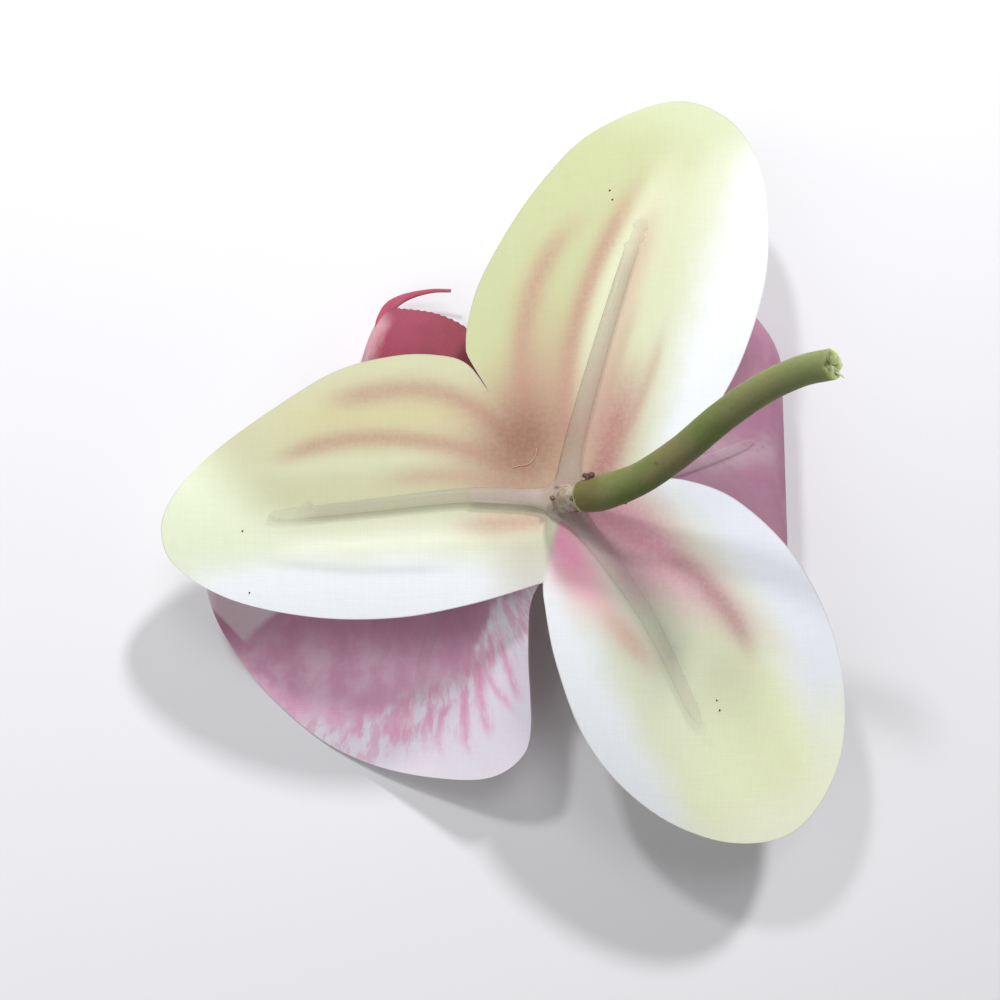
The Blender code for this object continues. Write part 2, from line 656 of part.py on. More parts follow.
def build():
    """Builds the whole bloom."""
    clear_scene()
    collection = bpy.data.collections.new("orchid_bloom")
    bpy.context.scene.collection.children.link(collection)
    parent = bpy.data.objects.new("bloom", None)
    collection.objects.link(parent)
    parent.location = (PIN_X * MM, PIN_Y * MM, 0)
    bpy.context.view_layer.update()
    clear_plastic = material("clear_plastic", RIB_COLOUR, 0.3, transmission=0.5)
    build_sepals(material("sepal_cloth", SEPAL_COLOUR, 0.8), collection, parent)
    build_petals(material("petal_cloth", PETAL_COLOUR, 0.8), collection, parent)
    build_lip(material("lip_cloth", LIP_COLOUR, 0.8), collection, parent)
    build_sepal_ribs(clear_plastic, collection, parent)
    build_petal_ribs(clear_plastic, collection, parent)
    build_column(material("column_plastic", COLUMN_COLOUR, 0.4), collection, parent)
    build_stem(material("stem_plastic", STEM_COLOUR, 0.5), collection, parent)


build()
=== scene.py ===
"""Looks of an artificial moth orchid bloom, cut with a short stem and lying face down on a table.

The printed cloth sheets, clear ribs, column and stem each replace the plain solid of the frame
at the same place. Lengths are in millimetres and are turned into metres where vertices are
placed. Plan places are measured from the axis of the pin that holds the layers together.
"""

from math import atan2, cos, degrees, exp, hypot, pi, radians, sin, sqrt

import bpy
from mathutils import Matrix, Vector, noise


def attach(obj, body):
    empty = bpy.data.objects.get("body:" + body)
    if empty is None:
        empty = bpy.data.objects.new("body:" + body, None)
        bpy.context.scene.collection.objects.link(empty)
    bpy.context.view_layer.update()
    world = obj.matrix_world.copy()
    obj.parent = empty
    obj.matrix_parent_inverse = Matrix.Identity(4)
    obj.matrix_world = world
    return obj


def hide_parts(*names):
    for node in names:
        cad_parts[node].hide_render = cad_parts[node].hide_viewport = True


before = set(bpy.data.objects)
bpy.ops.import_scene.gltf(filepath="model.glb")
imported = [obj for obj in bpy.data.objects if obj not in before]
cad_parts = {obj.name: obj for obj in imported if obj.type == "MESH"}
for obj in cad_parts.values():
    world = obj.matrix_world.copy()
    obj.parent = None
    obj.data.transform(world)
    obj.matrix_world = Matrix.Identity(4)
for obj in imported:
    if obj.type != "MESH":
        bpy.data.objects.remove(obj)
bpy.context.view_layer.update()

MM = 0.001

# Place of the pin's axis in the frame
PIN_X = 8.1
PIN_Y = -4.0

# Sheets and ribs of the frame, and the thickness of the real cloth
FRAME_CLOTH = 0.6
GAP = 0.3
CONE_GAP = 0.2
CLOTH = 0.3
HOLE_RADIUS = 1.2
PIN_RADIUS = 0.9
PETAL_RIB_PLATE = 0.8
SEPAL_Z = 24.0
PETAL_Z = SEPAL_Z - FRAME_CLOTH - 2 * GAP - PETAL_RIB_PLATE
LIP_Z = PETAL_Z - FRAME_CLOTH - GAP - CONE_GAP
REST_Z = FRAME_CLOTH / 2
LIP_FOOT_Z = 0.06

# Sepal sheet: directions of the lobes and of the slits between them, in degrees
SEPAL_LENGTH = 53.0
SEPAL_DIRECTIONS = (72.6, 184.0, 302.3)
SEPAL_SLITS = ((124.8, 17.0), (255.2, 11.0), (374.0, 10.6))
SEPAL_DROOP = (7.5, 8.0, 7.0)
SEPAL_SEAM_DROOP = 17.0

# Outlines of the sepal lobes from slit to slit, as (along the lobe, across it)
SEPAL_OUTLINES = (
    ((10.8, -12.0), (16.4, -15.0), (26.0, -17.0), (38.0, -16.8), (49.4, -13.0), (55.3, -7.6), (56.6, -0.6),
     (53.6, 5.4), (47.6, 11.5), (41.0, 14.9), (33.4, 17.4), (24.6, 19.1), (18.6, 18.95), (15.2, 18.15),
     (13.9, 17.3)),
    ((11.4, -18.6), (15.2, -20.1), (21.0, -20.5), (29.0, -19.1), (38.3, -14.4), (47.0, -9.0), (52.4, -4.0),
     (54.3, 0.6), (52.5, 5.4), (45.0, 10.2), (34.0, 13.1), (23.0, 13.8), (13.0, 12.6)),
    ((9.6, -9.2), (17.0, -12.1), (27.0, -14.3), (36.0, -13.8), (44.6, -10.6), (51.4, -4.7),
     (54.3, 3.0), (50.6, 11.5), (43.0, 17.6), (33.0, 21.3), (22.0, 21.8), (12.0, 19.0), (6.0, 14.4)),
)

# Petal sheet: directions of the two lobes, and one outline that both share as mirror images
PETAL_DIRECTIONS = (222.0, 365.0)
PETAL_WAISTS = ((113.5, 5.5), (293.5, 5.8))
PETAL_OUTLINE = ((7.6, -7.4), (18.0, -15.5), (29.0, -24.5), (37.4, -27.8), (44.4, -26.6), (48.8, -20.6),
                 (50.8, -11.5), (50.8, -3.5), (49.2, 4.6), (45.4, 12.0), (39.8, 18.2), (34.0, 22.4),
                 (28.6, 23.1), (24.2, 20.8), (16.5, 11.6), (10.6, 6.4))
PETAL_TIPS = ((0.38, 0.66), (0.34, 0.62))
PETAL_CENTRE_SLOPE = 0.08
PETAL_BLEND = (5.8, 15.0)
LOW_PETAL_REACH = 51.0
LOW_PETAL_CUP = 0.004
LOW_PETAL_EVEN_FALL = 0.35
LOW_PETAL_PRESS = 0.1
ROLL_START = 2.0
ROLL_LENGTH = 50.0
ROLL_STEPS = 50
ROLL_ANGLES = (7.0, 220.0)
ROLL_POWER = 3.1
ROLL_TAPER = 0.058
ROLL_TAPER_FROM = 18.0
ROLL_TAPER_RISE = (10.0, 36.0)
ROLL_LEAN = 0.033
ROLL_LEAN_FROM = -6.0

# Lip sheet: direction, flat outline of one half, and its bend as (reach, height)
LIP_DIRECTION = 141.0
LIP_OUTLINE = ((-3.6, 0.0), (-2.6, 2.5), (2.6, 3.2), (6.6, 7.6), (11.0, 9.8), (16.0, 8.2), (20.5, 7.4),
               (25.5, 10.4), (29.5, 12.0), (34.0, 10.6), (39.0, 7.6), (42.0, 6.2), (44.6, 3.5), (45.4, 0.0))
LIP_BEND = ((0.0, LIP_Z), (4.0, LIP_Z - 0.3), (8.0, LIP_Z - 2.0), (12.5, LIP_Z - 6.2), (18.0, 10.8),
            (25.0, 7.9), (31.0, 6.9), (35.2, 5.2), (37.0, 2.6), (36.8, 0.0))
LIP_BEND_STEPS = 120
LIP_LEAN = 0.032
LIP_LEAN_FROM = -6.0
LIP_LEAN_RISE = (20.0, 35.0)
LIP_ARCH = ((0.0, 60.0), (5.0, 14.0), (10.0, 8.0), (18.0, 10.0), (28.0, 17.0), (40.0, 24.0), (48.0, 40.0))

# Tendrils: (reach, distance to the side, height, radius) down their length
TENDRIL_PATH = ((34.6, 1.0, 3.6, 0.6), (36.2, 3.4, 3.1, 0.8), (36.7, 5.3, 2.7, 0.9),
                (36.8, 6.7, 2.7, 0.85), (36.4, 8.1, 2.8, 0.7), (35.7, 9.4, 3.0, 0.54),
                (34.6, 10.9, 3.2, 0.4), (33.05, 12.5, 3.6, 0.3), (31.2, 13.9, 4.0, 0.25))
TENDRIL_FLATNESS = 0.3

# Clear ribs: centre lines in plan, half widths at the hub and at the end
SEPAL_ARMS = (((0.3, 1.5), (1.2, 7.5), (4.6, 19.5), (7.9, 30.0), (9.6, 34.9)),
              ((-1.5, 0.1), (-12.2, 0.6), (-24.0, -0.6), (-33.5, -1.6), (-38.6, -2.0)),
              ((0.8, -1.4), (5.8, -7.9), (11.1, -15.9), (15.9, -25.5), (17.7, -29.0)))
PETAL_ARMS = (((-1.0, -1.2), (-9.4, -8.6), (-15.4, -14.4), (-18.5, -20.8), (-20.2, -29.0)),
              ((1.5, 0.3), (11.0, 2.8), (19.4, 5.4), (26.8, 8.0)))
ARM_HALF_WIDTHS = ((1.3, 0.85), (1.1, 0.75), (1.3, 0.75))
ARM_HEIGHTS = (1.25, 0.9)
PETAL_ARM_HALF_WIDTHS = ((1.1, 0.7), (1.1, 0.7))
PETAL_ARM_HEIGHTS = (0.8, 0.45)
ARM_FLARE = 0.9
ARM_FLARE_REACH = 1.6
ARM_ROUND_END = (0.93, 1.01)
ARM_FLATNESS = 0.45
ARM_SUNK = 0.04
HUB_RADIUS = 2.9
HUB_HEIGHT = 0.7
RIB_SKIN = 0.12
RIB_GLUE = ((10.2, 35.9, 1.05, 0), (9.6, 34.4, 0.95, 0), (8.5, 33.2, 0.7, 0), (-33.4, -1.1, 0.95, 1),
            (-37.6, -1.9, 0.8, 1), (18.1, -29.7, 0.8, 2), (18.8, -30.9, 0.65, 2), (19.4, -32.0, 0.45, 2))
GLUE_LIFT = 0.1

# Lips of the groove in the left arm: middle in plan, height above the sheet and radius
GROOVE_LIPS = ((-7.6, 1.19, 0.9, 0.15), (-7.6, -0.4, 0.88, 0.14))
GROOVE_HALF_LENGTH = 4.2
GROOVE_LEAN = 0.2

# Pin: upright through the layers, then bent over towards the stem, with the boss round it
PIN_FOOT_Z = 16.0
PIN_BEND_Z = 25.0
PIN_BEND_RADIUS = 3.0
PIN_BEND_ANGLE = radians(52)
PIN_BEND_DIRECTION = radians(12)
PIN_END_LENGTH = 4.2
BOSS_RADIUS = 1.65
BOSS_COLLAR = 0.12
BOSS_SUNK = 0.4
BOSS_END_LENGTH = 0.9
BEND_LENGTH = PIN_BEND_RADIUS * PIN_BEND_ANGLE
BOSS_END = BEND_LENGTH + BOSS_END_LENGTH
PIN_END = BEND_LENGTH + PIN_END_LENGTH

# Column on the face side: (radius, height) down its outline
COLUMN_TOP_Z = LIP_Z - FRAME_CLOTH / 2 - GAP
COLUMN_PROFILE = ((2.45, 0.0), (2.6, -0.5), (1.7, -1.3), (1.5, -3.0), (1.9, -4.8),
                  (2.3, -6.2), (2.2, -7.2), (1.4, -8.0), (0.2, -8.3))

# Wings and pollen on both sides of the column: (x, y, distance down it), size, seed and height
COLUMN_LUMPS = (("wing", (-1.2, 1.3, 5.6), 1.0, 0.0, 1.5),
                ("pollen", (-0.9, 0.6, 7.6), 0.65, 5.0, 0.9))

# Stem: centre line from the boss to the cut end, with the radius at each point
STEM_PATH = ((8.6, 2.6, 32.5, 1.98), (12.9, 5.7, 36.0, 1.86), (16.8, 9.3, 39.8, 1.84),
             (20.6, 12.2, 43.5, 1.78), (24.1, 13.9, 46.8, 1.72), (26.9, 14.4, 49.6, 1.70))
STEM_START_RADII = (2.0, 2.2)
CUT_RIM = 0.3
CUT_SUNK = 0.1
CUT_WAVE = 0.12
CUT_GRAIN = 0.35
TORN_FIBRES = (((27.2, 13.5, 49.0), (27.8, 13.3, 49.2), (28.2, 12.95, 49.2)),
               ((27.1, 13.9, 48.6), (27.6, 13.8, 48.7), (27.9, 13.55, 48.7)))
CUT_WAVES = ((3, 1.0, 0.8), (7, 0.7, 0.0), (16, 0.5, 1.0))

# Mesh density: steps round a lobe, rows along it and columns across it, and rows of the bars
EDGE_STEPS = 400
SEAM_ROWS = 8
SIDE_ROWS = 60
LOBE_COLUMNS = 46
LIP_ROWS = 230
LIP_COLUMNS = 30
TOOTH = 0.07
ARM_ROWS = 60
PIN_ROWS = 24
STEM_ROWS = 70

# Brown glue and dark scraps round the stem's foot: place and size
STEM_GLUE = (((-1.75, 0.25, 26.3), 0.3), ((0.6, 0.2, 29.0), 0.3), ((1.2, -1.2, 27.6), 0.34),
             ((3.8, -0.2, 31.0), 0.26), ((6.9, -0.25, 31.2), 0.3), ((4.9, -0.9, 30.2), 0.25))
STEM_SCRAPS = (((2.5, 2.85, 29.6), 0.44), ((2.95, 3.1, 29.9), 0.36), ((2.1, 3.05, 29.4), 0.28))

# Specks of dust on the sepals: lobe and place in plan
SPECKS = ((0, 6.2, 40.9), (0, 6.5, 39.6), (1, -42.4, -4.1),
          (1, -41.6, -12.3), (2, 19.9, -26.1), (2, 20.3, -27.4))
SPECK_SIZE = 0.13

# Loose thread on the upper sepal, as places in plan
LOOSE_THREAD = ((-6.6, 4.1), (-5.7, 4.4), (-4.8, 4.5), (-4.1, 5.1), (-3.75, 5.8), (-3.65, 6.6))
THREAD_RADIUS = 0.06
THREAD_LIFT = 0.05

# Threads of the cloth
THREAD = 0.24
LIP_THREAD = 0.42


def smoothstep(low, high, value):
    """Goes from 0 at low to 1 at high with level ends."""
    t = min(max((value - low) / (high - low), 0.0), 1.0)
    return t * t * (3 - 2 * t)


def spline_point(before, start, end, after, t):
    """Point at t on the Catmull-Rom stretch from start to end."""
    return tuple(
        0.5 * (2 * b + (c - a) * t + (2 * a - 5 * b + 4 * c - d) * t * t + (3 * b - a - 3 * c + d) * t ** 3)
        for a, b, c, d in zip(before, start, end, after))


def even_run(points, count):
    """Spaces count + 1 points evenly along a polyline."""
    reach = [0.0]
    for a, b in zip(points, points[1:]):
        reach.append(reach[-1] + sqrt(sum((q - p) ** 2 for p, q in zip(a, b))))
    run = []
    k = 0
    for i in range(count + 1):
        goal = reach[-1] * i / count
        while k < len(points) - 2 and reach[k + 1] < goal:
            k += 1
        t = (goal - reach[k]) / max(reach[k + 1] - reach[k], 1e-9)
        run.append(tuple(a + (b - a) * t for a, b in zip(points[k], points[k + 1])))
    return run


def smooth_run(points, count, steps=24):
    """Places count + 1 evenly spaced points on the smooth curve through the given ones."""
    first = tuple(2 * a - b for a, b in zip(points[0], points[1]))
    last = tuple(2 * a - b for a, b in zip(points[-1], points[-2]))
    run = [first, *points, last]
    fine = [tuple(points[0])]
    for i in range(len(points) - 1):
        fine += [spline_point(*run[i:i + 4], (k + 1) / steps) for k in range(steps)]
    return even_run(fine, count)


def table_value(table, x):
    """Reads a value off a list of (x, value) pairs with level eased steps between them."""
    for (x0, v0), (x1, v1) in zip(table, table[1:]):
        if x <= x1:
            return v0 + (v1 - v0) * smoothstep(x0, x1, x)
    return table[-1][1]


def turned(point, angle):
    """Turns a lobe's (along, across) into plan (x, y), with the lobe pointing to angle."""
    along, across = point
    return (along * cos(angle) - across * sin(angle), along * sin(angle) + across * cos(angle))


def polar(angle, radius):
    """Plan point at an angle in degrees and a radius."""
    return (radius * cos(radians(angle)), radius * sin(radians(angle)))


def coons(foot, head, left, right):
    """Fills the space between four runs of plan points with rows that follow them."""
    rows, columns = len(left) - 1, len(foot) - 1
    patch = []
    for i in range(rows + 1):
        u = i / rows
        row = []
        for j in range(columns + 1):
            v = j / columns
            row.append(tuple(
                (1 - v) * left[i][n] + v * right[i][n] + (1 - u) * foot[j][n] + u * head[j][n]
                - (1 - u) * ((1 - v) * left[0][n] + v * right[0][n])
                - u * ((1 - v) * left[-1][n] + v * right[-1][n])
                for n in (0, 1)))
        patch.append(row)
    return patch


def lobe_edge(outline, low_slit, high_slit):
    """Fine run of points round a lobe from slit to slit."""
    return smooth_run([polar(*low_slit), *outline, polar(*high_slit)], EDGE_STEPS)


def lobe_patch(outline, low_slit, high_slit, tip=(0.40, 0.60)):
    """Spreads rows of plan points over a lobe, from the arc of the pin's hole to the tip's edge."""
    fine = lobe_edge(outline, low_slit, high_slit)
    first, last = round(tip[0] * EDGE_STEPS), round(tip[1] * EDGE_STEPS)
    sides = []
    for slit, stretch in ((low_slit, fine[:first + 1]), (high_slit, fine[last:][::-1])):
        seam = even_run([polar(slit[0], HOLE_RADIUS), polar(*slit)], SEAM_ROWS)
        sides.append(seam[:-1] + even_run(stretch, SIDE_ROWS))
    head = even_run(fine[first:last + 1], LOBE_COLUMNS)
    foot = [polar(low_slit[0] + (high_slit[0] - low_slit[0]) * j / LOBE_COLUMNS, HOLE_RADIUS)
            for j in range(LOBE_COLUMNS + 1)]
    return coons(foot, head, *sides)


def sepal_phase(angle):
    """Which lobe an angle belongs to, and how far it is across it: 0 on the rib, pi on a seam."""
    for k, direction in enumerate(SEPAL_DIRECTIONS):
        low = SEPAL_SLITS[k - 1][0] - (360 if k == 0 else 0)
        high = SEPAL_SLITS[k][0]
        turn = (angle - low) % 360
        if turn <= high - low:
            turn += low - direction
            return k, pi * turn / (high - direction if turn > 0 else direction - low)
    return 0, pi


# The three sheets' place functions are called alike, though only the petals need the lobe's number


def sepal_place(x, y, lobe=0):
    """Place in space of a plan point of the sepal sheet."""
    nearest, phase = sepal_phase(degrees(atan2(y, x)))
    reach = hypot(x, y) / SEPAL_LENGTH
    side = (1 - cos(phase)) / 2
    droop = SEPAL_DROOP[nearest] * (1 - side) + SEPAL_SEAM_DROOP * side
    return Vector((x, y, SEPAL_Z - reach ** 2 * droop))


def roll_profile():
    """Reach and drop of the rolled petal at even steps of its cloth, until it lies flat again."""
    step = ROLL_LENGTH / ROLL_STEPS
    low, high = ROLL_ANGLES
    reach, drop = ROLL_START, 0.0
    run = [(reach, drop)]
    for k in range(ROLL_STEPS):
        angle = min(radians(low + (high - low) * ((k + 0.5) / ROLL_STEPS) ** ROLL_POWER), pi)
        reach += cos(angle) * step
        drop += sin(angle) * step
        run.append((reach, drop))
    return run


ROLL = roll_profile()


def rolled_petal(x, y):
    """The right petal: rolled down to the table about an axis along Y."""
    t = min(max((x - ROLL_START) / ROLL_LENGTH, 0.0), 1.0) * ROLL_STEPS
    k = min(int(t), ROLL_STEPS - 1)
    (r0, d0), (r1, d1) = ROLL[k], ROLL[k + 1]
    reach = r0 + (r1 - r0) * (t - k) if x > ROLL_START else x
    drop = d0 + (d1 - d0) * (t - k)
    taper = ROLL_TAPER * max(y - ROLL_TAPER_FROM, 0.0) ** 2 + ROLL_LEAN * max(y - ROLL_LEAN_FROM, 0.0)
    taper *= smoothstep(*ROLL_TAPER_RISE, x)
    return Vector((reach - taper, y, max(PETAL_Z - drop, REST_Z)))


def low_petal(x, y):
    """The lower left petal: slopes down to the table, its side corners lifted."""
    angle = radians(-PETAL_DIRECTIONS[0])
    along, across = turned((x, y), angle)
    t = min(max(along / LOW_PETAL_REACH, 0.0), 1.0)
    fall = LOW_PETAL_EVEN_FALL * t + (1 - LOW_PETAL_EVEN_FALL) * smoothstep(0.0, 1.0, t)
    height = PETAL_Z - (PETAL_Z - REST_Z + LOW_PETAL_PRESS) * fall + LOW_PETAL_CUP * across ** 2
    return Vector((x, y, max(height, REST_Z)))


def petal_place(x, y, lobe=0):
    """Place in space of a plan point of the petal sheet."""
    radius = hypot(x, y)
    centre = Vector((x, y, PETAL_Z - PETAL_CENTRE_SLOPE * radius))
    petal = rolled_petal(x, y) if lobe else low_petal(x, y)
    return centre.lerp(petal, smoothstep(*PETAL_BLEND, radius))


LIP_MIDDLE = smooth_run(LIP_BEND, LIP_BEND_STEPS)
LIP_CLOTH_LENGTH = sum(hypot(b[0] - a[0], b[1] - a[1]) for a, b in zip(LIP_MIDDLE, LIP_MIDDLE[1:]))


def lip_lean(across):
    """How far the lip's front falls back at a distance across it."""
    return LIP_LEAN * max(across - LIP_LEAN_FROM, 0.0) ** 2


def lip_place(along, across, lobe=0):
    """Place in space of a point of the flat lip."""
    t = min(max(along / LIP_CLOTH_LENGTH, 0.0), 1.0) * (len(LIP_MIDDLE) - 1)
    k = min(int(t), len(LIP_MIDDLE) - 2)
    (r0, z0), (r1, z1) = LIP_MIDDLE[k], LIP_MIDDLE[k + 1]
    reach = r0 + (r1 - r0) * (t - k) if along > 0 else along
    reach -= lip_lean(across) * smoothstep(*LIP_LEAN_RISE, along)
    height = z0 + (z1 - z0) * (t - k)
    radius = table_value(LIP_ARCH, along)
    side = radius * sin(across / radius)
    drop = radius * (1 - cos(across / radius))
    x, y = turned((reach, side), radians(LIP_DIRECTION))
    return Vector((x, y, max(height - drop, LIP_FOOT_Z)))


def lifted(place, x, y, lobe, lift, step=0.05):
    """Place in space a little way off a sheet's middle, square to its surface."""
    here = place(x, y, lobe)
    normal = (place(x + step, y, lobe) - here).cross(place(x, y + step, lobe) - here).normalized()
    return here + normal * lift


def pin_point(length):
    """Point of the pin's centre line, length millimetres past the start of its bend."""
    turn = min(max(length, 0.0), BEND_LENGTH) / PIN_BEND_RADIUS
    run = max(length - BEND_LENGTH, 0.0)
    out = PIN_BEND_RADIUS * (1 - cos(turn)) + run * sin(PIN_BEND_ANGLE)
    rise = PIN_BEND_RADIUS * sin(turn) + run * cos(PIN_BEND_ANGLE) + min(length, 0.0)
    return (out * cos(PIN_BEND_DIRECTION), out * sin(PIN_BEND_DIRECTION), PIN_BEND_Z + rise)


def pin_run(start, end, count):
    """Points of the pin's centre line between two lengths along it."""
    return [pin_point(start + (end - start) * i / count) for i in range(count + 1)]


def in_frame(place):
    """A place measured from the pin, in millimetres, as metres in the frame."""
    x, y, z = place
    return Vector((x + PIN_X, y + PIN_Y, z)) * MM


def from_pin(vertex):
    """A vertex of the frame as millimetres from the pin."""
    return Vector((vertex.co.x / MM - PIN_X, vertex.co.y / MM - PIN_Y, vertex.co.z / MM))


# Modelling


def only(piece):
    """Selects one piece alone and makes it the active one."""
    bpy.ops.object.select_all(action="DESELECT")
    piece.select_set(True)
    bpy.context.view_layer.objects.active = piece


def named(piece, name):
    """Gives a piece and its mesh their name."""
    piece.name = piece.data.name = name
    return piece


def modified(piece, kind, **settings):
    """Adds a modifier to a piece and applies it."""
    only(piece)
    bpy.ops.object.modifier_add(type=kind)
    modifier = piece.modifiers[-1]
    for setting, value in settings.items():
        setattr(modifier, setting, value)
    bpy.ops.object.modifier_apply(modifier=modifier.name)
    return piece


def joined(name, parts):
    """Joins several meshes into one piece."""
    bpy.ops.object.select_all(action="DESELECT")
    for part in parts:
        part.select_set(True)
    bpy.context.view_layer.objects.active = parts[0]
    bpy.ops.object.join()
    return named(bpy.context.object, name)


def welded(piece, upwards=False):
    """Merges a mesh's doubles and turns its faces outwards, or on an open sheet upwards."""
    only(piece)
    bpy.ops.object.mode_set(mode="EDIT")
    bpy.ops.mesh.select_all(action="SELECT")
    bpy.ops.mesh.remove_doubles(threshold=0.002 * MM)
    bpy.ops.mesh.normals_make_consistent(inside=False)
    bpy.ops.object.mode_set(mode="OBJECT")
    if upwards and sum(face.normal.z * face.area for face in piece.data.polygons) < 0:
        bpy.ops.object.mode_set(mode="EDIT")
        bpy.ops.mesh.flip_normals()
        bpy.ops.object.mode_set(mode="OBJECT")
    return piece


def smooth_shaded(piece, angle=None):
    """Shades a piece smooth, all over or up to an angle between its faces."""
    only(piece)
    if angle is None:
        bpy.ops.object.shade_smooth()
    else:
        bpy.ops.object.shade_smooth_by_angle(angle=radians(angle))
    return piece


def bar(name, run, radii, sides=16):
    """A round bar with closed ends along a run of places."""
    bpy.ops.object.select_all(action="DESELECT")
    bpy.ops.curve.primitive_nurbs_path_add(radius=MM)
    line = bpy.context.object
    line.data.splines.clear()
    line.data.bevel_depth = MM
    line.data.bevel_resolution = sides // 2 - 2
    line.data.use_fill_caps = True
    spline = line.data.splines.new("POLY")
    spline.points.add(len(run) - 1)
    for point, place, radius in zip(spline.points, run, radii):
        point.co = (*in_frame(place), 1)
        point.radius = radius
    bpy.ops.object.convert(target="MESH")
    return welded(named(bpy.context.object, name))


def crumb(name, place, size, seed, squash=0.6, rough=0.45):
    """A small uneven lump, such as a drop of glue or a scrap, at a place."""
    bpy.ops.object.select_all(action="DESELECT")
    bpy.ops.mesh.primitive_ico_sphere_add(subdivisions=3, radius=size * MM, location=in_frame(place))
    bpy.ops.transform.resize(value=(1.0, 1.0, squash))
    bpy.ops.object.transform_apply(location=True, rotation=True, scale=True)
    lump = named(bpy.context.object, name)
    centre = in_frame(place)
    for vertex in lump.data.vertices:
        offset = vertex.co - centre
        swell = noise.noise(offset / (size * MM) * 1.3 + Vector((seed, seed, 0)))
        vertex.co = centre + offset * (1 + rough * swell)
    return lump


def cloth_grid(name, patch, place, lobe=0, seam_rows=SEAM_ROWS):
    """A grid of cloth that remembers where it lay flat and which side is its cut edge."""
    rows, columns = len(patch) - 1, len(patch[0]) - 1
    bpy.ops.object.select_all(action="DESELECT")
    bpy.ops.mesh.primitive_grid_add(x_subdivisions=columns, y_subdivisions=rows, size=2)
    grid = named(bpy.context.object, name)
    flat = grid.data.attributes.new("flat_cloth", "FLOAT_VECTOR", "POINT")
    for vertex, mark in zip(grid.data.vertices, flat.data):
        j = round((vertex.co.x + 1) / 2 * columns)
        i = round((vertex.co.y + 1) / 2 * rows)
        cut = i == rows or (j in (0, columns) and i >= seam_rows)
        mark.vector = (*patch[i][j], 1.0 if cut else 0.0)
        vertex.co = in_frame(place(*patch[i][j], lobe))
    return grid


def sheet_of(name, grids):
    """Joins grids of cloth into one sheet and gives it the thickness of the real cloth."""
    sheet = welded(joined(name, grids), upwards=True)
    modified(sheet, "SOLIDIFY", thickness=CLOTH * MM, offset=0)
    return smooth_shaded(sheet, 50)


def outline_area(outline):
    """Area within a closed run of plan points."""
    return abs(sum(x0 * y1 - x1 * y0 for (x0, y0), (x1, y1) in zip(outline, outline[1:] + outline[:1]))) / 2


def declare_sheet(outline):
    """Works out the width, length and area of a flat outline, and keeps none of them."""
    width, length = (max(p[n] for p in outline) - min(p[n] for p in outline) for n in (0, 1))
    width * MM
    length * MM
    outline_area(outline) * MM * MM


# Materials


class Sock:
    """A number or vector of a material's nodes, on which Python's operators add Math nodes."""

    def __init__(self, finish, link):
        self.finish = finish
        self.link = link

    def __add__(self, other):
        return self.finish.math("ADD", self, other)

    def __sub__(self, other):
        return self.finish.math("SUBTRACT", self, other)

    def __rsub__(self, other):
        return self.finish.math("SUBTRACT", other, self)

    def __mul__(self, other):
        return self.finish.math("MULTIPLY", self, other)

    def __truediv__(self, other):
        return self.finish.math("DIVIDE", self, other)

    def __neg__(self):
        return self * -1.0

    __radd__ = __add__
    __rmul__ = __mul__


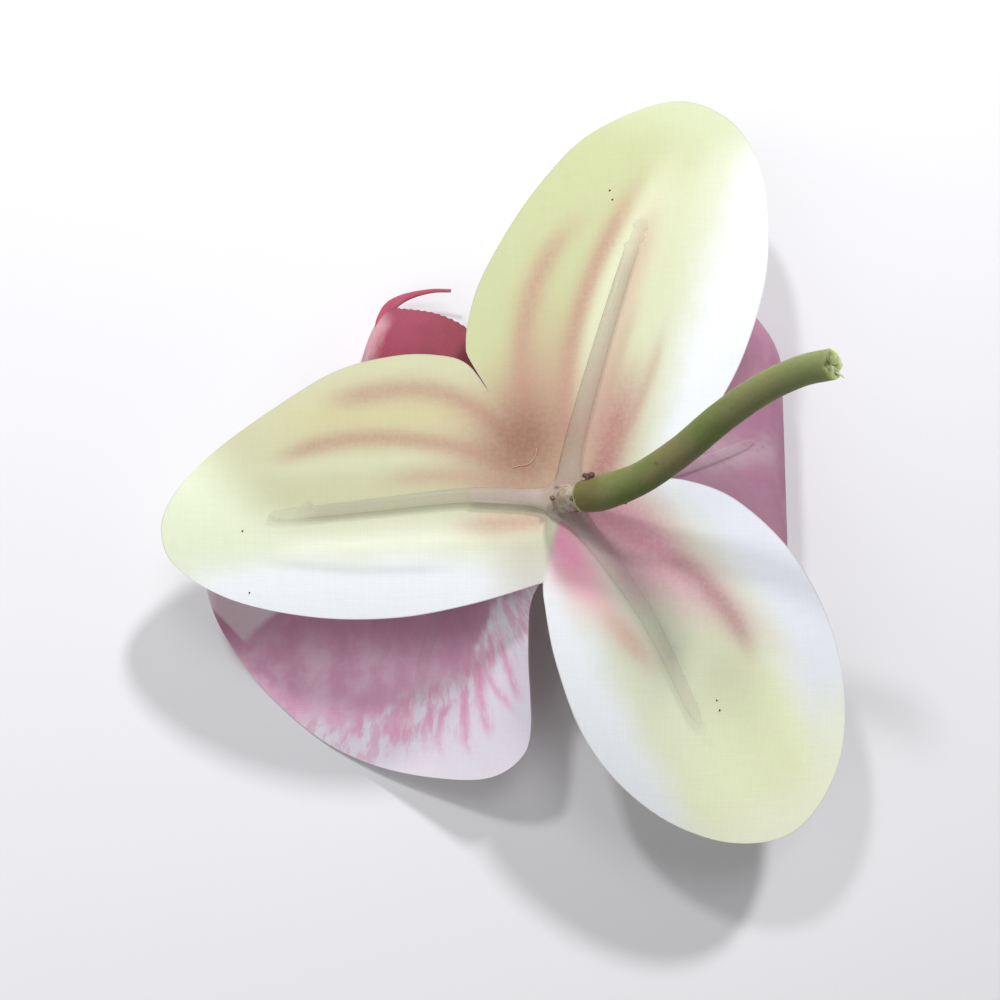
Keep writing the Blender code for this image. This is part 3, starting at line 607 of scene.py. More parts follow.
class Finish:
    """A material being made, with the few ways in which its nodes are added."""

    def __init__(self, name, **constants):
        self.material = bpy.data.materials.new(name)
        self.material.use_nodes = True
        self.nodes = self.material.node_tree.nodes
        self.links = self.material.node_tree.links
        self.shader = self.nodes["Principled BSDF"]
        for socket, value in constants.items():
            self.shader.inputs[socket.replace("_", " ")].default_value = value

    def node(self, kind, settings, inputs, output=0):
        """Adds a node of a kind with its settings and the values or links of its sockets."""
        node = self.nodes.new(kind)
        for setting, value in settings.items():
            setattr(node, setting, value)
        for socket, value in inputs.items():
            if isinstance(value, Sock):
                self.links.new(value.link, node.inputs[socket])
            else:
                node.inputs[socket].default_value = value
        return Sock(self, node.outputs[output])

    def feed(self, socket, value):
        """Links a value to one of the shader's own sockets."""
        self.links.new(value.link, self.shader.inputs[socket])

    def math(self, operation, *values):
        """A Math node."""
        return self.node("ShaderNodeMath", {"operation": operation}, dict(enumerate(values)))

    def rise(self, value, low, high):
        """Goes smoothly from 0 where the value is low to 1 where it is high."""
        return self.node("ShaderNodeMapRange", {"interpolation_type": "SMOOTHSTEP"},
                         {"Value": value, "From Min": low, "From Max": high})

    def fall(self, value, low, high):
        """Goes smoothly from 1 where the value is low to 0 where it is high."""
        return 1.0 - self.rise(value, low, high)

    def stretch(self, value, start, end):
        """1 along a stretch: rises between the two values of start and falls between those of end."""
        return self.rise(value, *start) * self.fall(value, *end)

    def bell(self, offset, width):
        """1 where the offset is nought, and less and less beside it."""
        side = offset / width
        return self.math("EXPONENT", -(side * side))

    def mix(self, factor, below, above):
        """Lays one colour over another."""
        return self.node("ShaderNodeMix", {"data_type": "RGBA"}, {0: factor, 6: below, 7: above}, 2)

    def shaded(self, factor, colour):
        """A colour made lighter or darker by a number."""
        grey = self.joined(factor, factor, factor)
        ink = colour if isinstance(colour, Sock) else colour[:3]
        return self.node("ShaderNodeVectorMath", {"operation": "MULTIPLY"}, {0: ink, 1: grey})

    def noise(self, place, scale, detail=2.0, roughness=0.5):
        """Uneven values round a half."""
        return self.node("ShaderNodeTexNoise", {},
                         {"Vector": place, "Scale": scale, "Detail": detail, "Roughness": roughness})

    def place(self):
        """Object coordinates in millimetres from the pin."""
        here = self.node("ShaderNodeTexCoord", {}, {}, "Object")
        return self.node("ShaderNodeVectorMath", {"operation": "MULTIPLY_ADD"},
                         {0: here, 1: (1 / MM,) * 3, 2: (-PIN_X, -PIN_Y, 0.0)})

    def flat_cloth(self):
        """Where a point of the cloth lay while the cloth was flat."""
        return self.node("ShaderNodeAttribute", {"attribute_name": "flat_cloth"}, {}, "Vector")

    def split(self, vector):
        """The three numbers of a vector."""
        parts = self.node("ShaderNodeSeparateXYZ", {}, {0: vector})
        outputs = parts.link.node.outputs
        return [Sock(self, outputs[n]) for n in range(3)]

    def joined(self, *numbers):
        """A vector from three numbers."""
        return self.node("ShaderNodeCombineXYZ", {}, dict(enumerate(numbers)))

    def bump(self, height, depth, strength=1.0):
        """Feeds a height, in parts of a depth in millimetres, to the shader's normal."""
        self.feed("Normal", self.node("ShaderNodeBump", {},
                                      {"Height": height, "Distance": depth * MM, "Strength": strength}))

    def let_light_through(self, share, colour):
        """Lets a share of the light pass through thin cloth."""
        output = self.nodes["Material Output"]
        through = self.node("ShaderNodeBsdfTranslucent", {}, {"Color": colour})
        cloth = Sock(self, self.shader.outputs[0])
        both = self.node("ShaderNodeMixShader", {}, {0: share, 1: cloth, 2: through})
        self.links.new(both.link, output.inputs["Surface"])


def tint(red, green, blue):
    """A colour as seen on a screen, 0 to 255, turned into light."""
    parts = (value / 255 for value in (red, green, blue))
    return (*(v / 12.92 if v <= 0.04045 else ((v + 0.055) / 1.055) ** 2.4 for v in parts), 1.0)


def lobe_axes(x, y, direction):
    """Distances along and across a lobe that points to a direction in degrees."""
    turn = radians(direction)
    return x * cos(turn) + y * sin(turn), y * cos(turn) - x * sin(turn)


def line_through(points, along):
    """The curve through given (along, across) points, at a distance along."""
    level = [across for _, across in points]
    terms = []
    for order in range(1, len(points) + 1):
        terms.append(level[0])
        level = [(b - a) / (points[i + order][0] - points[i][0])
                 for i, (a, b) in enumerate(zip(level, level[1:]))]
    value = terms.pop()
    for (start, _), term in zip(points[-2::-1], terms[::-1]):
        value = (along - start) * value + term
    return value


def streak(dye, along, across, points, width, soft=(4.0, 8.0)):
    """How strongly a printed streak shows: a soft line through points, fading at both ends."""
    inner, outer = sorted((points[0][0], points[-1][0]))
    side = dye.bell(across - line_through(points, along), width)
    return side * dye.rise(along, inner - soft[0], inner) * dye.fall(along, outer - soft[1], outer)


def layered(dye, colour, *layers):
    """Prints one layer after another on a colour, each a mask, a strength and a colour."""
    for mask, strength, ink in layers:
        colour = dye.mix(mask * strength, colour, ink)
    return colour


WHITE = tint(242, 245, 254)
SALMON = tint(186, 148, 130)


def upper_print(dye, x, y, grain):
    """Print of the upper sepal: green left of the inner streak, paler right of it, white beyond."""
    along, across = lobe_axes(x, y, SEPAL_DIRECTIONS[0])
    drift = dye.noise(dye.joined(along * 0.5, across, 0.0), 0.22) - 0.5
    inner = line_through(((9, 2.9), (22.5, 5.4), (32, 5.0), (43.2, 3.0)), along)
    outer = line_through(((12, 9.4), (19.5, 11.6), (28, 11.8), (35, 9.8)), along)
    past_inner = dye.fall((across - inner) / (dye.rise(along, 36.0, 52.0) * 4.0 + 1.0), -2.2, 0.6)
    white = dye.rise(drift * 4.0 - across, 7.0, 12.5) * dye.fall(along, 48.0, 58.0)
    soft_white = dye.rise(drift * 3.0 - across, 3.0, 9.0) * dye.fall(along, 46.0, 58.0)
    inner_streak = dye.bell(across - inner, 1.4) * dye.stretch(along, (5.0, 9.0), (34.0, 48.0))
    outer_streak = dye.bell(across - outer, 1.7) * dye.stretch(along, (6.0, 12.0), (28.0, 40.0))
    under_rib = dye.bell(across - 0.2, 1.6) * dye.stretch(along, (4.0, 9.0), (34.0, 44.0))
    haze = dye.bell(across - 8.2, 4.2) * dye.fall(along, 11.0, 30.0)
    pink = dye.bell(across + 3.2, 2.9) * dye.stretch(along, (0.0, 3.0), (10.0, 24.0))
    return layered(
        dye, dye.mix(past_inner, tint(194, 199, 156), tint(212, 217, 184)),
        (dye.bell(across - inner + 2.2, 1.6) * dye.fall(along, 40.0, 52.0), 0.5, tint(222, 226, 196)),
        (dye.rise(along, 47.0, 56.0), 0.6, tint(208, 218, 186)),
        (soft_white, 0.55, tint(232, 236, 226)),
        (white, 1.0, WHITE),
        (under_rib, 0.45, tint(204, 152, 142)),
        (haze, 0.7, tint(188, 154, 132)),
        (inner_streak * grain, 0.85, SALMON),
        (outer_streak * grain, 0.8, SALMON),
        (pink * grain, 1.0, tint(182, 132, 128)),
        (streak(dye, along, across, ((10, -1.6), (18, -1.2), (30, -1.5)), 0.8), 0.35, SALMON),
        (streak(dye, along, across, ((10, -4.4), (17.5, -5.6), (28, -5.2)), 0.8) * grain, 0.45, SALMON))


def left_print(dye, x, y, grain):
    """Print of the left sepal: green with three curved streaks, white along its lower side."""
    along, across = lobe_axes(x, y, SEPAL_DIRECTIONS[1])
    drift = dye.noise(dye.joined(along * 0.4, across, 3.0), 0.25) - 0.5
    base = dye.mix(dye.rise(across, -3.0, 4.0), tint(199, 200, 166), tint(230, 235, 210))
    white = dye.rise(across + drift * 4.0 - dye.fall(along, 6.0, 20.0) * 3.0, 2.0, 8.4)
    white = white * dye.fall(along, 46.0, 56.0)
    # Painted shade: a faint grey line where the cloth waves.
    painted_ripple_shade = dye.bell(across - line_through(((18, 7.6), (27, 7.2), (36, 6.0)), along), 0.7)
    gold = dye.bell(across + 12.6, 2.6) * dye.stretch(along, (5.0, 11.0), (29.0, 40.0))
    foot = dye.fall(along, 5.0, 13.0) * dye.rise(across, 3.0, 6.0)
    # Painted light: a pale band beside the rib that lightens the rib's cast shadow on the cloth.
    lower = dye.bell(across - 3.8, 1.0) * dye.stretch(along, (8.0, 14.0), (32.0, 40.0))
    light = dye.bell(across + 6.8, 1.2) * dye.stretch(along, (10.0, 16.0), (36.0, 46.0))
    under_rib = dye.bell(across - 2.4, 1.6) * dye.stretch(along, (1.0, 4.0), (9.0, 17.0))
    return layered(
        dye, dye.mix(dye.rise(along + across * 0.8, 33.0, 46.0), base, tint(230, 238, 211)),
        (gold, 0.6, tint(202, 190, 146)),
        (light, 0.4, tint(214, 217, 190)),
        (white, 1.0, tint(246, 250, 255)),
        (lower, 0.5, tint(252, 255, 232)),
        (foot, 0.5, tint(196, 186, 164)),
        (painted_ripple_shade * dye.stretch(along, (12.0, 20.0), (34.0, 42.0)), 0.4, tint(205, 210, 212)),
        (streak(dye, along, across, ((5.8, -7.3), (10.4, -12.4), (19, -15.8), (33, -15.6)), 1.7) * grain,
         0.8, tint(178, 146, 128)),
        (streak(dye, along, across, ((6, -4.8), (19.3, -9.2), (29.6, -9.7), (40, -7.0)), 1.35) * grain,
         0.8, tint(180, 146, 126)),
        (streak(dye, along, across, ((6, -2.1), (16, -4.2), (26, -3.6)), 1.2) * grain, 0.5, SALMON),
        (under_rib * grain, 0.75, tint(206, 164, 146)))


def dorsal_print(dye, x, y, grain):
    """Print of the lower right sepal: magenta and rose at its foot, yellow green to its tip."""
    along, across = lobe_axes(x, y, SEPAL_DIRECTIONS[2])
    drift = dye.noise(dye.joined(along * 0.5, across, 7.0), 0.2) - 0.5
    left_edge = line_through(((8, -6.2), (24, -8.0), (46, -9.2)), along)
    right_edge = line_through(((6, 11.5), (24, 15.0), (46, 11.0)), along)
    white_left = dye.rise(left_edge - across + drift * 3.0, -3.6, 2.5) * dye.fall(along, 42.0, 54.0)
    white_right = dye.rise(across - right_edge + drift * 4.0, -4.5, 3.0) * dye.fall(along, 34.0, 54.0)
    yellow = dye.bell(across - 6.0, 5.5) * dye.rise(along, 26.0, 40.0)
    rose = dye.rise(across, -1.0, 1.5) * dye.rise(along * 0.15 - across + drift * 4.0, -12.0, -5.0)
    rose = rose * dye.fall(along - across * 1.2 + drift * 8.0, 7.0, 19.0)
    dusk = dye.bell(across - line_through(((1, 1.5), (9, 5.4), (18, 9.0)), along), 2.8)
    dusk = dusk * dye.stretch(along, (-2.0, 2.0), (9.0, 19.0))
    drifted = along + drift * 6.0
    magenta = dye.bell(across + 3.2, 2.7) * dye.rise(along, -1.0, 1.5) * dye.fall(drifted, 5.0, 15.0)
    blush = dye.bell(across + 3.7, 3.0) * dye.rise(along, -1.0, 2.0) * dye.fall(drifted, 9.0, 21.0)
    bent_streak = streak(dye, along, across, ((15, 8.4), (25.9, 10.3), (33, 9.5)), 1.4)
    salmon = streak(dye, along, across, ((8, -4.0), (17, -2.9), (27, -1.7)), 1.7, (4.0, 7.0))
    return layered(
        dye, dye.mix(dye.rise(along, 16.0, 48.0), tint(220, 225, 204), tint(246, 252, 216)),
        (yellow, 0.45, tint(226, 234, 184)),
        (dye.bell(across - 6.0, 5.5) * dye.bell(along - 29.5, 8.0), 0.7, tint(203, 206, 173)),
        # Painted light: the tip is made lighter to make up for its droop away from the lamps.
        (dye.rise(along, 44.0, 54.0), 0.7, tint(255, 255, 236)),
        (white_left, 1.0, tint(246, 250, 255)),
        (white_right, 1.0, tint(232, 235, 245)),
        (rose * grain, 0.85, tint(210, 162, 174)),
        (dusk * grain, 0.8, tint(194, 130, 150)),
        (bent_streak * grain, 0.7, tint(176, 130, 134)),
        (salmon * grain, 0.65, tint(206, 158, 144)),
        (blush * grain, 0.8, tint(255, 220, 228)),
        (magenta * grain, 0.9, tint(244, 158, 194)))


def sector(dye, x, y, low, high):
    """1 between two directions in degrees and 0 outside them."""
    low_side = y * cos(radians(low)) - x * sin(radians(low))
    high_side = x * sin(radians(high)) - y * cos(radians(high))
    return dye.rise(low_side, -0.6, 0.6) * dye.rise(high_side, -0.6, 0.6)


def woven(dye, x, y, pitch, colour, contrast):
    """Threads of plain cloth: their relief, and painted shade that makes the colour a little darker between
    them.
    """
    warp = dye.math("SINE", x * (2 * pi / pitch))
    weft = dye.math("SINE", y * (2 * pi / pitch))
    relief = (warp + weft) * 0.25 + 0.5
    slub = dye.noise(dye.joined(x * 0.25, y * 2.0, 0.0), 1.0)
    slub = slub + dye.noise(dye.joined(x * 2.0, y * 0.25, 5.0), 1.0)
    shade = relief * contrast + slub * 0.06 + (0.94 - contrast * 0.5)
    dye.bump(relief, 0.02, 0.6)
    dye.feed("Base Color", dye.shaded(shade, colour))


def sepal_cloth():
    """Printed cloth of the sepals."""
    dye = Finish("sepal_cloth_print", Roughness=0.85, Specular_IOR_Level=0.2, Sheen_Weight=0.05)
    x, y, cut = dye.split(dye.flat_cloth())
    grain = dye.noise(dye.joined(x, y, 0.0), 1.6, 3.0, 0.7) * 0.9 + 0.5
    slits = [angle for angle, _ in SEPAL_SLITS]
    left = sector(dye, x, y, slits[0], slits[1])
    dorsal = sector(dye, x, y, slits[1], slits[2])
    colour = dye.mix(left, upper_print(dye, x, y, grain), left_print(dye, x, y, grain))
    colour = dye.mix(dorsal, colour, dorsal_print(dye, x, y, grain))
    radius = radius_of(dye, x, y)
    toward = (x * cos(radians(118)) + y * sin(radians(118))) / (radius + 0.1)
    peach = dye.fall(radius, 9.0, 23.0) * dye.rise(toward, 0.25, 0.95)
    brown = dye.bell(x + 5.4, 5.6) * dye.bell(y - 7.6, 6.0)
    rim = dye.rise(cut, 0.72, 0.95)
    colour = layered(dye, colour,
                     (peach * grain, 0.7, tint(194, 154, 142)),
                     (brown * grain, 0.95, tint(148, 110, 92)),
                     (rim, 0.6, tint(176, 176, 168)))
    woven(dye, x, y, THREAD, colour, 0.10)
    dye.let_light_through(0.12, tint(246, 244, 226))
    return dye.material


# Veins of a petal, as (distance down the cloth, distance to the side) with their width
PETAL_VEINS = ((((22.9, -12.9), (26.6, -13.3), (31.9, -13.3), (37.1, -12.4)), 0.62),
               (((21.7, -11.9), (25.0, -11.2), (30.7, -10.2), (34.2, -9.5)), 0.6),
               (((18.9, -8.3), (22.4, -7.4), (26.0, -6.1), (28.4, -5.5)), 0.5),
               (((25.5, -9.0), (28.4, -7.0), (30.1, -5.6)), 0.5),
               (((30.0, -16.0), (33.2, -17.0), (36.1, -16.8), (38.0, -16.2)), 0.45),
               (((27.0, -17.6), (32.2, -18.8), (34.2, -19.7)), 0.75),
               (((29.5, -21.8), (33.7, -22.9), (36.8, -23.7)), 1.15),
               (((31.0, -25.4), (36.0, -24.6)), 0.6),
               (((31.0, -28.6), (36.3, -29.4)), 0.6),
               (((19.1, -9.4), (22.5, -9.6), (25.4, -8.9)), 0.4),
               (((30.5, -32.2), (34.8, -32.0)), 0.6))


def petal_cloth():
    """Printed cloth of the petals: mauve pink that ends in veins across a white margin."""
    dye = Finish("petal_cloth_print", Roughness=0.85, Specular_IOR_Level=0.2, Sheen_Weight=0.05)
    x, y, cut = dye.split(dye.flat_cloth())
    right = dye.rise(x * cos(radians(23.5)) + y * sin(radians(23.5)), -0.5, 0.5)
    low_along, low_across = lobe_axes(x, y, PETAL_DIRECTIONS[0])
    right_along, right_across = lobe_axes(x, y, PETAL_DIRECTIONS[1])
    along = low_along + (right_along - low_along) * right
    across = low_across - (right_across + low_across) * right
    side, up = lobe_axes(along, across, -PETAL_DIRECTIONS[0])
    down = -up
    fan = dye.math("ARCTAN2", side + 14.5, down + 2.0)
    fan_reach = radius_of(dye, side + 14.5, down + 2.0)
    wisps = dye.noise(dye.joined(fan * 26.0, fan_reach * 0.22, right * 9.0), 0.8, 4.0, 0.65)
    ragged = dye.noise(dye.joined(fan * 26.0, fan_reach * 0.5, right * 9.0 + 4.0), 0.42, 4.0, 0.65) - 0.5
    grain = dye.noise(dye.joined(side, down, 2.0), 1.5, 3.0, 0.7) * 0.8 + 0.6
    limit = 32.8 - dye.rise(side, -33.0, -10.0) * 9.0 - dye.rise(side, -15.0, -6.0) * 12.0 + right * 8.0
    white = dye.rise(down - limit + ragged * 9.0, -1.8, 1.8)
    haze = dye.rise(down - limit + ragged * 6.0, -8.0, 3.0)
    veins = None
    for points, width in PETAL_VEINS:
        bent = side + ragged * 1.6
        vein = streak(dye, down, bent, points, width * 1.25, (3.5, 3.5))
        veins = vein if veins is None else dye.math("MAXIMUM", veins, vein)
    wispy = dye.rise(wisps, 0.46, 0.6) * dye.fall(down - limit, 4.0, 12.0)
    mottle = dye.noise(dye.joined(side, down * 0.8, right * 5.0), 0.24, 4.0, 0.6)
    # The low petal's pinks are set lighter than its print: painted light that makes up for the sepal's
    # shadow over it.
    pink = dye.mix(dye.rise(mottle, 0.36, 0.64), tint(240, 180, 212), tint(252, 212, 236))
    pink = dye.mix(dye.rise(wisps, 0.45, 0.7) * 0.22, pink, tint(222, 150, 184))
    far = dye.rise(radius_of(dye, x, y), 14.0, 40.0)
    mauve = dye.mix(far, tint(142, 116, 128), tint(174, 126, 148))
    pink = dye.mix(right * 0.85, pink, dye.mix(dye.rise(mottle, 0.4, 0.62), mauve, tint(158, 100, 128)))
    band = dye.rise(ragged * 1.6 - across, 14.6, 16.0) * dye.stretch(along, (39.0, 42.0), (47.8, 48.4))
    smear = dye.bell(across + 4.2, 2.2) * dye.stretch(along, (16.0, 22.0), (29.0, 36.0)) * right
    veins = veins * dye.rise(down - limit, -3.0, 1.0) * dye.rise(wisps, 0.3, 0.52) * grain
    colour = layered(dye, pink,
                     # Painted shadow: the low petal is darker towards its top, where the left sepal's
                     # shadow falls.
                     (dye.fall(down, 17.0, 25.5) * (1.0 - right), 0.8, tint(172, 118, 146)),
                     (haze, 0.3, tint(240, 204, 224)),
                     (white, 0.95, tint(242, 240, 250)),
                     (wispy * white, 0.75, tint(238, 180, 210)),
                     (veins, 0.7, tint(238, 160, 196)),
                     (band * (1.0 - right), 0.8, tint(228, 212, 220)),
                     (smear * dye.rise(ragged, -0.2, 0.1), 0.45, tint(210, 192, 200)),
                     (dye.rise(cut, 0.8, 1.0), 0.35, tint(232, 214, 224)))
    woven(dye, x, y, THREAD, colour, 0.12)
    dye.let_light_through(0.12, tint(250, 168, 192))
    return dye.material


def radius_of(dye, x, y):
    """Distance from the pin on the flat cloth."""
    return dye.math("SQRT", x * x + y * y)


def lip_cloth():
    """Printed cloth of the lip: deep pink red, paler on the fold at its front with pale print and painted
    sheen.
    """
    dye = Finish("lip_cloth_print", Roughness=0.75, Specular_IOR_Level=0.3, Sheen_Weight=0.1)
    along, across, cut = dye.split(dye.flat_cloth())
    patchy = dye.noise(dye.joined(along, across, 0.0), 0.35, 3.0) - 0.5
    # The pale front is partly pale print and partly painted sheen where the cloth curls over.
    front = dye.rise(along + patchy * 3.0, 38.0, 41.0) * dye.rise(across, -6.4, -3.4)
    bands = dye.bell(along - across * 0.5 - 40.5, 0.5) * dye.rise(across, -1.0, 2.0)
    throat = dye.fall(along, 4.0, 14.0)
    colour = layered(dye, tint(134, 58, 72),
                     (dye.rise(along + patchy * 8.0, 29.0, 38.0), 0.55, tint(166, 76, 102)),
                     (dye.rise(across + patchy * 6.0, -4.0, 4.0), 0.4, tint(158, 54, 70)),
                     (front, 0.75, tint(226, 176, 184)),
                     (front * dye.rise(across, 0.0, 3.0), 0.5, tint(196, 96, 126)),
                     (bands, 0.5, tint(228, 190, 196)),
                     (throat, 0.7, tint(226, 180, 110)),
                     (dye.rise(cut, 0.6, 1.0), 0.4, tint(120, 48, 60)))
    woven(dye, along + across * across * 0.03, across + along * along * 0.01, LIP_THREAD, colour, 0.4)
    dye.let_light_through(0.10, tint(226, 90, 120))
    return dye.material


def tendril_cloth():
    """Deep pink of the tendrils, paler at the lip's corner with pale print and painted sheen."""
    dye = Finish("tendril_cloth_print", Roughness=0.8, Specular_IOR_Level=0.2)
    x, y, _ = dye.split(dye.place())
    grain = dye.noise(dye.place(), 3.0, 3.0, 0.6)
    # The pale root carries on the lip's pale front: partly pale print, partly painted sheen.
    root = dye.fall(y * 0.63 - x * 0.78, 35.0, 37.0)
    colour = dye.mix(root * dye.rise(-x, 21.5, 24.5), tint(170, 82, 102), tint(206, 136, 152))
    dye.feed("Base Color", dye.shaded(grain * 0.4 + 0.8, colour))
    dye.bump(grain, 0.05, 0.5)
    return dye.material


def clear_plastic():
    """Cloudy clear moulded plastic, with painted shade where a bar turns down at its sides."""
    dye = Finish("cloudy_clear_plastic", Roughness=0.25, IOR=1.46, Specular_IOR_Level=0.5)
    x, y, z = dye.split(dye.place())
    _, _, up = dye.split(dye.node("ShaderNodeNewGeometry", {}, {}, "Normal"))
    # Painted shade: darker where the clear bar turns down at its sides and bends the light.
    side = dye.fall(up, 0.15, 0.65)
    cloud = dye.noise(dye.place(), 0.8, 3.0, 0.6)
    hub = dye.fall(radius_of(dye, x, y), 2.5, 7.0)
    boss = dye.rise(z, SEPAL_Z + 1.2, SEPAL_Z + 1.8)
    ridged = dye.rise(-x, 2.0, 4.0) * dye.fall(-x, 11.6, 12.4) * dye.bell(y - 0.3, 2.2)
    tail = dye.rise(radius_of(dye, x, y), 31.0, 36.0)
    rosy = dye.fall(y, -8.0, -3.0)
    stained = dye.mix(dye.rise(cloud, 0.4, 0.62), tint(176, 168, 146), tint(130, 112, 88))
    colour = layered(dye, dye.mix(rosy, tint(214, 206, 196), tint(228, 208, 208)),
                     (hub, 0.6, tint(204, 176, 168)),
                     (ridged, 0.7, tint(216, 200, 202)),
                     (tail, 0.6, tint(236, 240, 226)),
                     (side * (1.0 - tail * 0.6), 0.7, tint(136, 124, 106)),
                     (boss, 0.8, stained))
    dye.feed("Base Color", dye.shaded(cloud * 0.2 + 0.9, colour))
    thin = 1.0 - tail * 0.5 - dye.fall(y, -6.0, -3.0) * 0.4
    dye.feed("Alpha", (side * 0.2 + 0.15) * thin + hub * 0.18 + ridged * 0.16 + boss * 0.45)
    dye.bump(cloud, 0.06, 0.5)
    return dye.material


def petal_rib_plastic():
    """The same clear plastic where it is glued flat to the petals and takes on their colour."""
    dye = Finish("thin_clear_plastic", Roughness=0.3, IOR=1.46, Specular_IOR_Level=0.4)
    x, _, _ = dye.split(dye.place())
    _, _, up = dye.split(dye.node("ShaderNodeNewGeometry", {}, {}, "Normal"))
    # Painted shade: darker where the bar turns down at its sides.
    side = dye.fall(up, 0.2, 0.7)
    cloud = dye.noise(dye.place(), 0.8, 3.0, 0.6)
    cloudy = dye.rise(x, 4.0, 12.0)
    dye.feed("Base Color", dye.mix(side, tint(222, 200, 210), tint(160, 122, 138)))
    dye.feed("Alpha", side * 0.06 + 0.01 + cloudy * 0.14 + cloud * 0.03)
    dye.bump(cloud, 0.06, 0.5)
    return dye.material


def column_plastic():
    """Moulded plastic of the column: white, blushing pink down to a yellow cap."""
    dye = Finish("column_blush_plastic", Roughness=0.4)
    _, _, z = dye.split(dye.place())
    cloud = dye.noise(dye.place(), 0.9, 3.0)
    blush = dye.rise(z + cloud, COLUMN_TOP_Z - 6.0, COLUMN_TOP_Z - 1.5)
    cap = dye.fall(z + cloud * 0.4, COLUMN_TOP_Z - 7.6, COLUMN_TOP_Z - 6.9)
    dye.feed("Base Color", layered(dye, tint(206, 132, 164),
                                   (blush, 0.8, tint(238, 232, 236)),
                                   (cap, 0.85, tint(232, 200, 96))))
    dye.bump(cloud, 0.08, 0.4)
    return dye.material


def stem_plastic():
    """Soft olive green plastic with brown specks, browner at its foot and pale at the cut."""
    dye = Finish("olive_stem_plastic", Specular_IOR_Level=0.2, Subsurface_Weight=0.85,
                 Subsurface_Scale=0.003, Subsurface_Radius=(1.0, 1.0, 0.6))
    place = dye.place()
    x, _, _ = dye.split(place)
    patches = dye.noise(place, 0.22, 4.0, 0.6)
    grain = dye.noise(place, 2.5, 3.0, 0.6)
    specks = dye.node("ShaderNodeTexVoronoi", {}, {"Vector": place, "Scale": 0.36}, "Distance")
    blot = dye.fall(specks + (grain - 0.5) * 0.14, 0.06, 0.17)
    foot = dye.fall(x + patches * 3.0, 3.6, 6.4)
    cut = dye.rise(x + grain, 26.6, 28.2)
    colour = layered(dye, dye.mix(dye.rise(patches, 0.35, 0.65), tint(102, 114, 64), tint(118, 116, 78)),
                     (dye.rise(x, 12.0, 27.0), 0.5, tint(132, 144, 98)),
                     (foot, 0.6, tint(108, 92, 58)),
                     (blot, 0.7, tint(84, 72, 50)),
                     (cut, 0.6, tint(170, 184, 128)))
    dye.feed("Base Color", dye.shaded(grain * 0.24 + 0.88, colour))
    dye.feed("Roughness", grain * 0.3 + 0.45)
    dye.bump(grain + patches * 2.0, 0.12, 0.5)
    return dye.material


def plain_finish(name, colour, roughness, depth=0.05):
    """A small part's finish: one colour, uneven on a fine scale."""
    dye = Finish(name)
    grain = dye.noise(dye.place(), 3.0, 3.0, 0.6)
    dye.feed("Base Color", dye.shaded(grain * 0.5 + 0.75, colour))
    dye.feed("Roughness", grain * 0.2 + (roughness - 0.1))
    dye.bump(grain, depth, 0.6)
    return dye.material


# Cloth sheets


def dress(piece, material, slot, *nodes):
    """Gives a piece its finish and has it stand for nodes of the frame. The slot is not used."""
    piece.data.materials.clear()
    piece.data.materials.append(material)
    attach(piece, "root")
    if nodes:
        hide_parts(*nodes)
    return piece


def make_sepals():
    """The three-lobed sepal sheet."""
    grids, edge = [], []
    for k, direction in enumerate(SEPAL_DIRECTIONS):
        outline = [turned(point, radians(direction)) for point in SEPAL_OUTLINES[k]]
        low_angle, low_radius = SEPAL_SLITS[k - 1]
        low = (low_angle - (360 if k == 0 else 0), low_radius)
        grids.append(cloth_grid(f"sepal_{k}", lobe_patch(outline, low, SEPAL_SLITS[k]), sepal_place, k))
        edge += lobe_edge(outline, low, SEPAL_SLITS[k])
    sheet = dress(sheet_of("sepals", grids), sepal_cloth(), "sepal_cloth", "sepal_fabric")
    declare_sheet(edge)


def make_petals():
    """The two-lobed petal sheet below the sepals."""
    low_waist, high_waist = PETAL_WAISTS
    outlines = ([turned(point, radians(PETAL_DIRECTIONS[0])) for point in PETAL_OUTLINE],
                [turned((a, -b), radians(PETAL_DIRECTIONS[1])) for a, b in reversed(PETAL_OUTLINE)])
    slits = ((low_waist, high_waist), (high_waist, (low_waist[0] + 360, low_waist[1])))
    grids, edge = [], []
    for k, (outline, (low, high), tip) in enumerate(zip(outlines, slits, PETAL_TIPS)):
        grids.append(cloth_grid(f"petal_{k}", lobe_patch(outline, low, high, tip), petal_place, k))
        edge += lobe_edge(outline, low, high)
    sheet = dress(sheet_of("petals", grids), petal_cloth(), "petal_cloth", "petal_fabric")
    declare_sheet(edge)


def make_lip():
    """The lip sheet with its cut, toothed sides, and a tendril at each front corner."""
    half = smooth_run(LIP_OUTLINE, LIP_ROWS)
    patch = []
    for i, (along, across) in enumerate(half):
        tooth = TOOTH * (1 if i % 4 < 2 else -1) * smoothstep(0.0, 3.0, across)
        spread = [across * (1 - 2 * j / LIP_COLUMNS) for j in range(LIP_COLUMNS + 1)]
        spread[0] += tooth
        spread[-1] -= tooth
        patch.append([(along, b) for b in spread])
    sheet = sheet_of("lip", [cloth_grid("lip", patch, lip_place, seam_rows=0)])
    dress(sheet, lip_cloth(), "lip_cloth", "lip_fabric")
    edge = half + [(a, -b) for a, b in reversed(half)]
    for side in (-1, 1):
        make_tendril(side)
    declare_sheet(edge)


def make_tendril(side):
    """One tapering tendril, its root in a front corner of the lip."""
    path = []
    for reach, across, height, radius in TENDRIL_PATH:
        x, y = turned((reach - lip_lean(side * across), side * across), radians(LIP_DIRECTION))
        path.append((x, y, height, radius))
    run = smooth_run(path, 60)
    name = "tendril_left" if side < 0 else "tendril_right"
    piece = bar(name, [p[:3] for p in run], [p[3] for p in run], 12)
    for vertex in piece.data.vertices:
        here = from_pin(vertex)
        middle = min(run, key=lambda p: hypot(p[0] - here.x, p[1] - here.y))[2]
        vertex.co.z += (TENDRIL_FLATNESS - 1) * (here.z - middle) * MM
    dress(smooth_shaded(piece), tendril_cloth(), "lip_cloth")


# Clear ribs


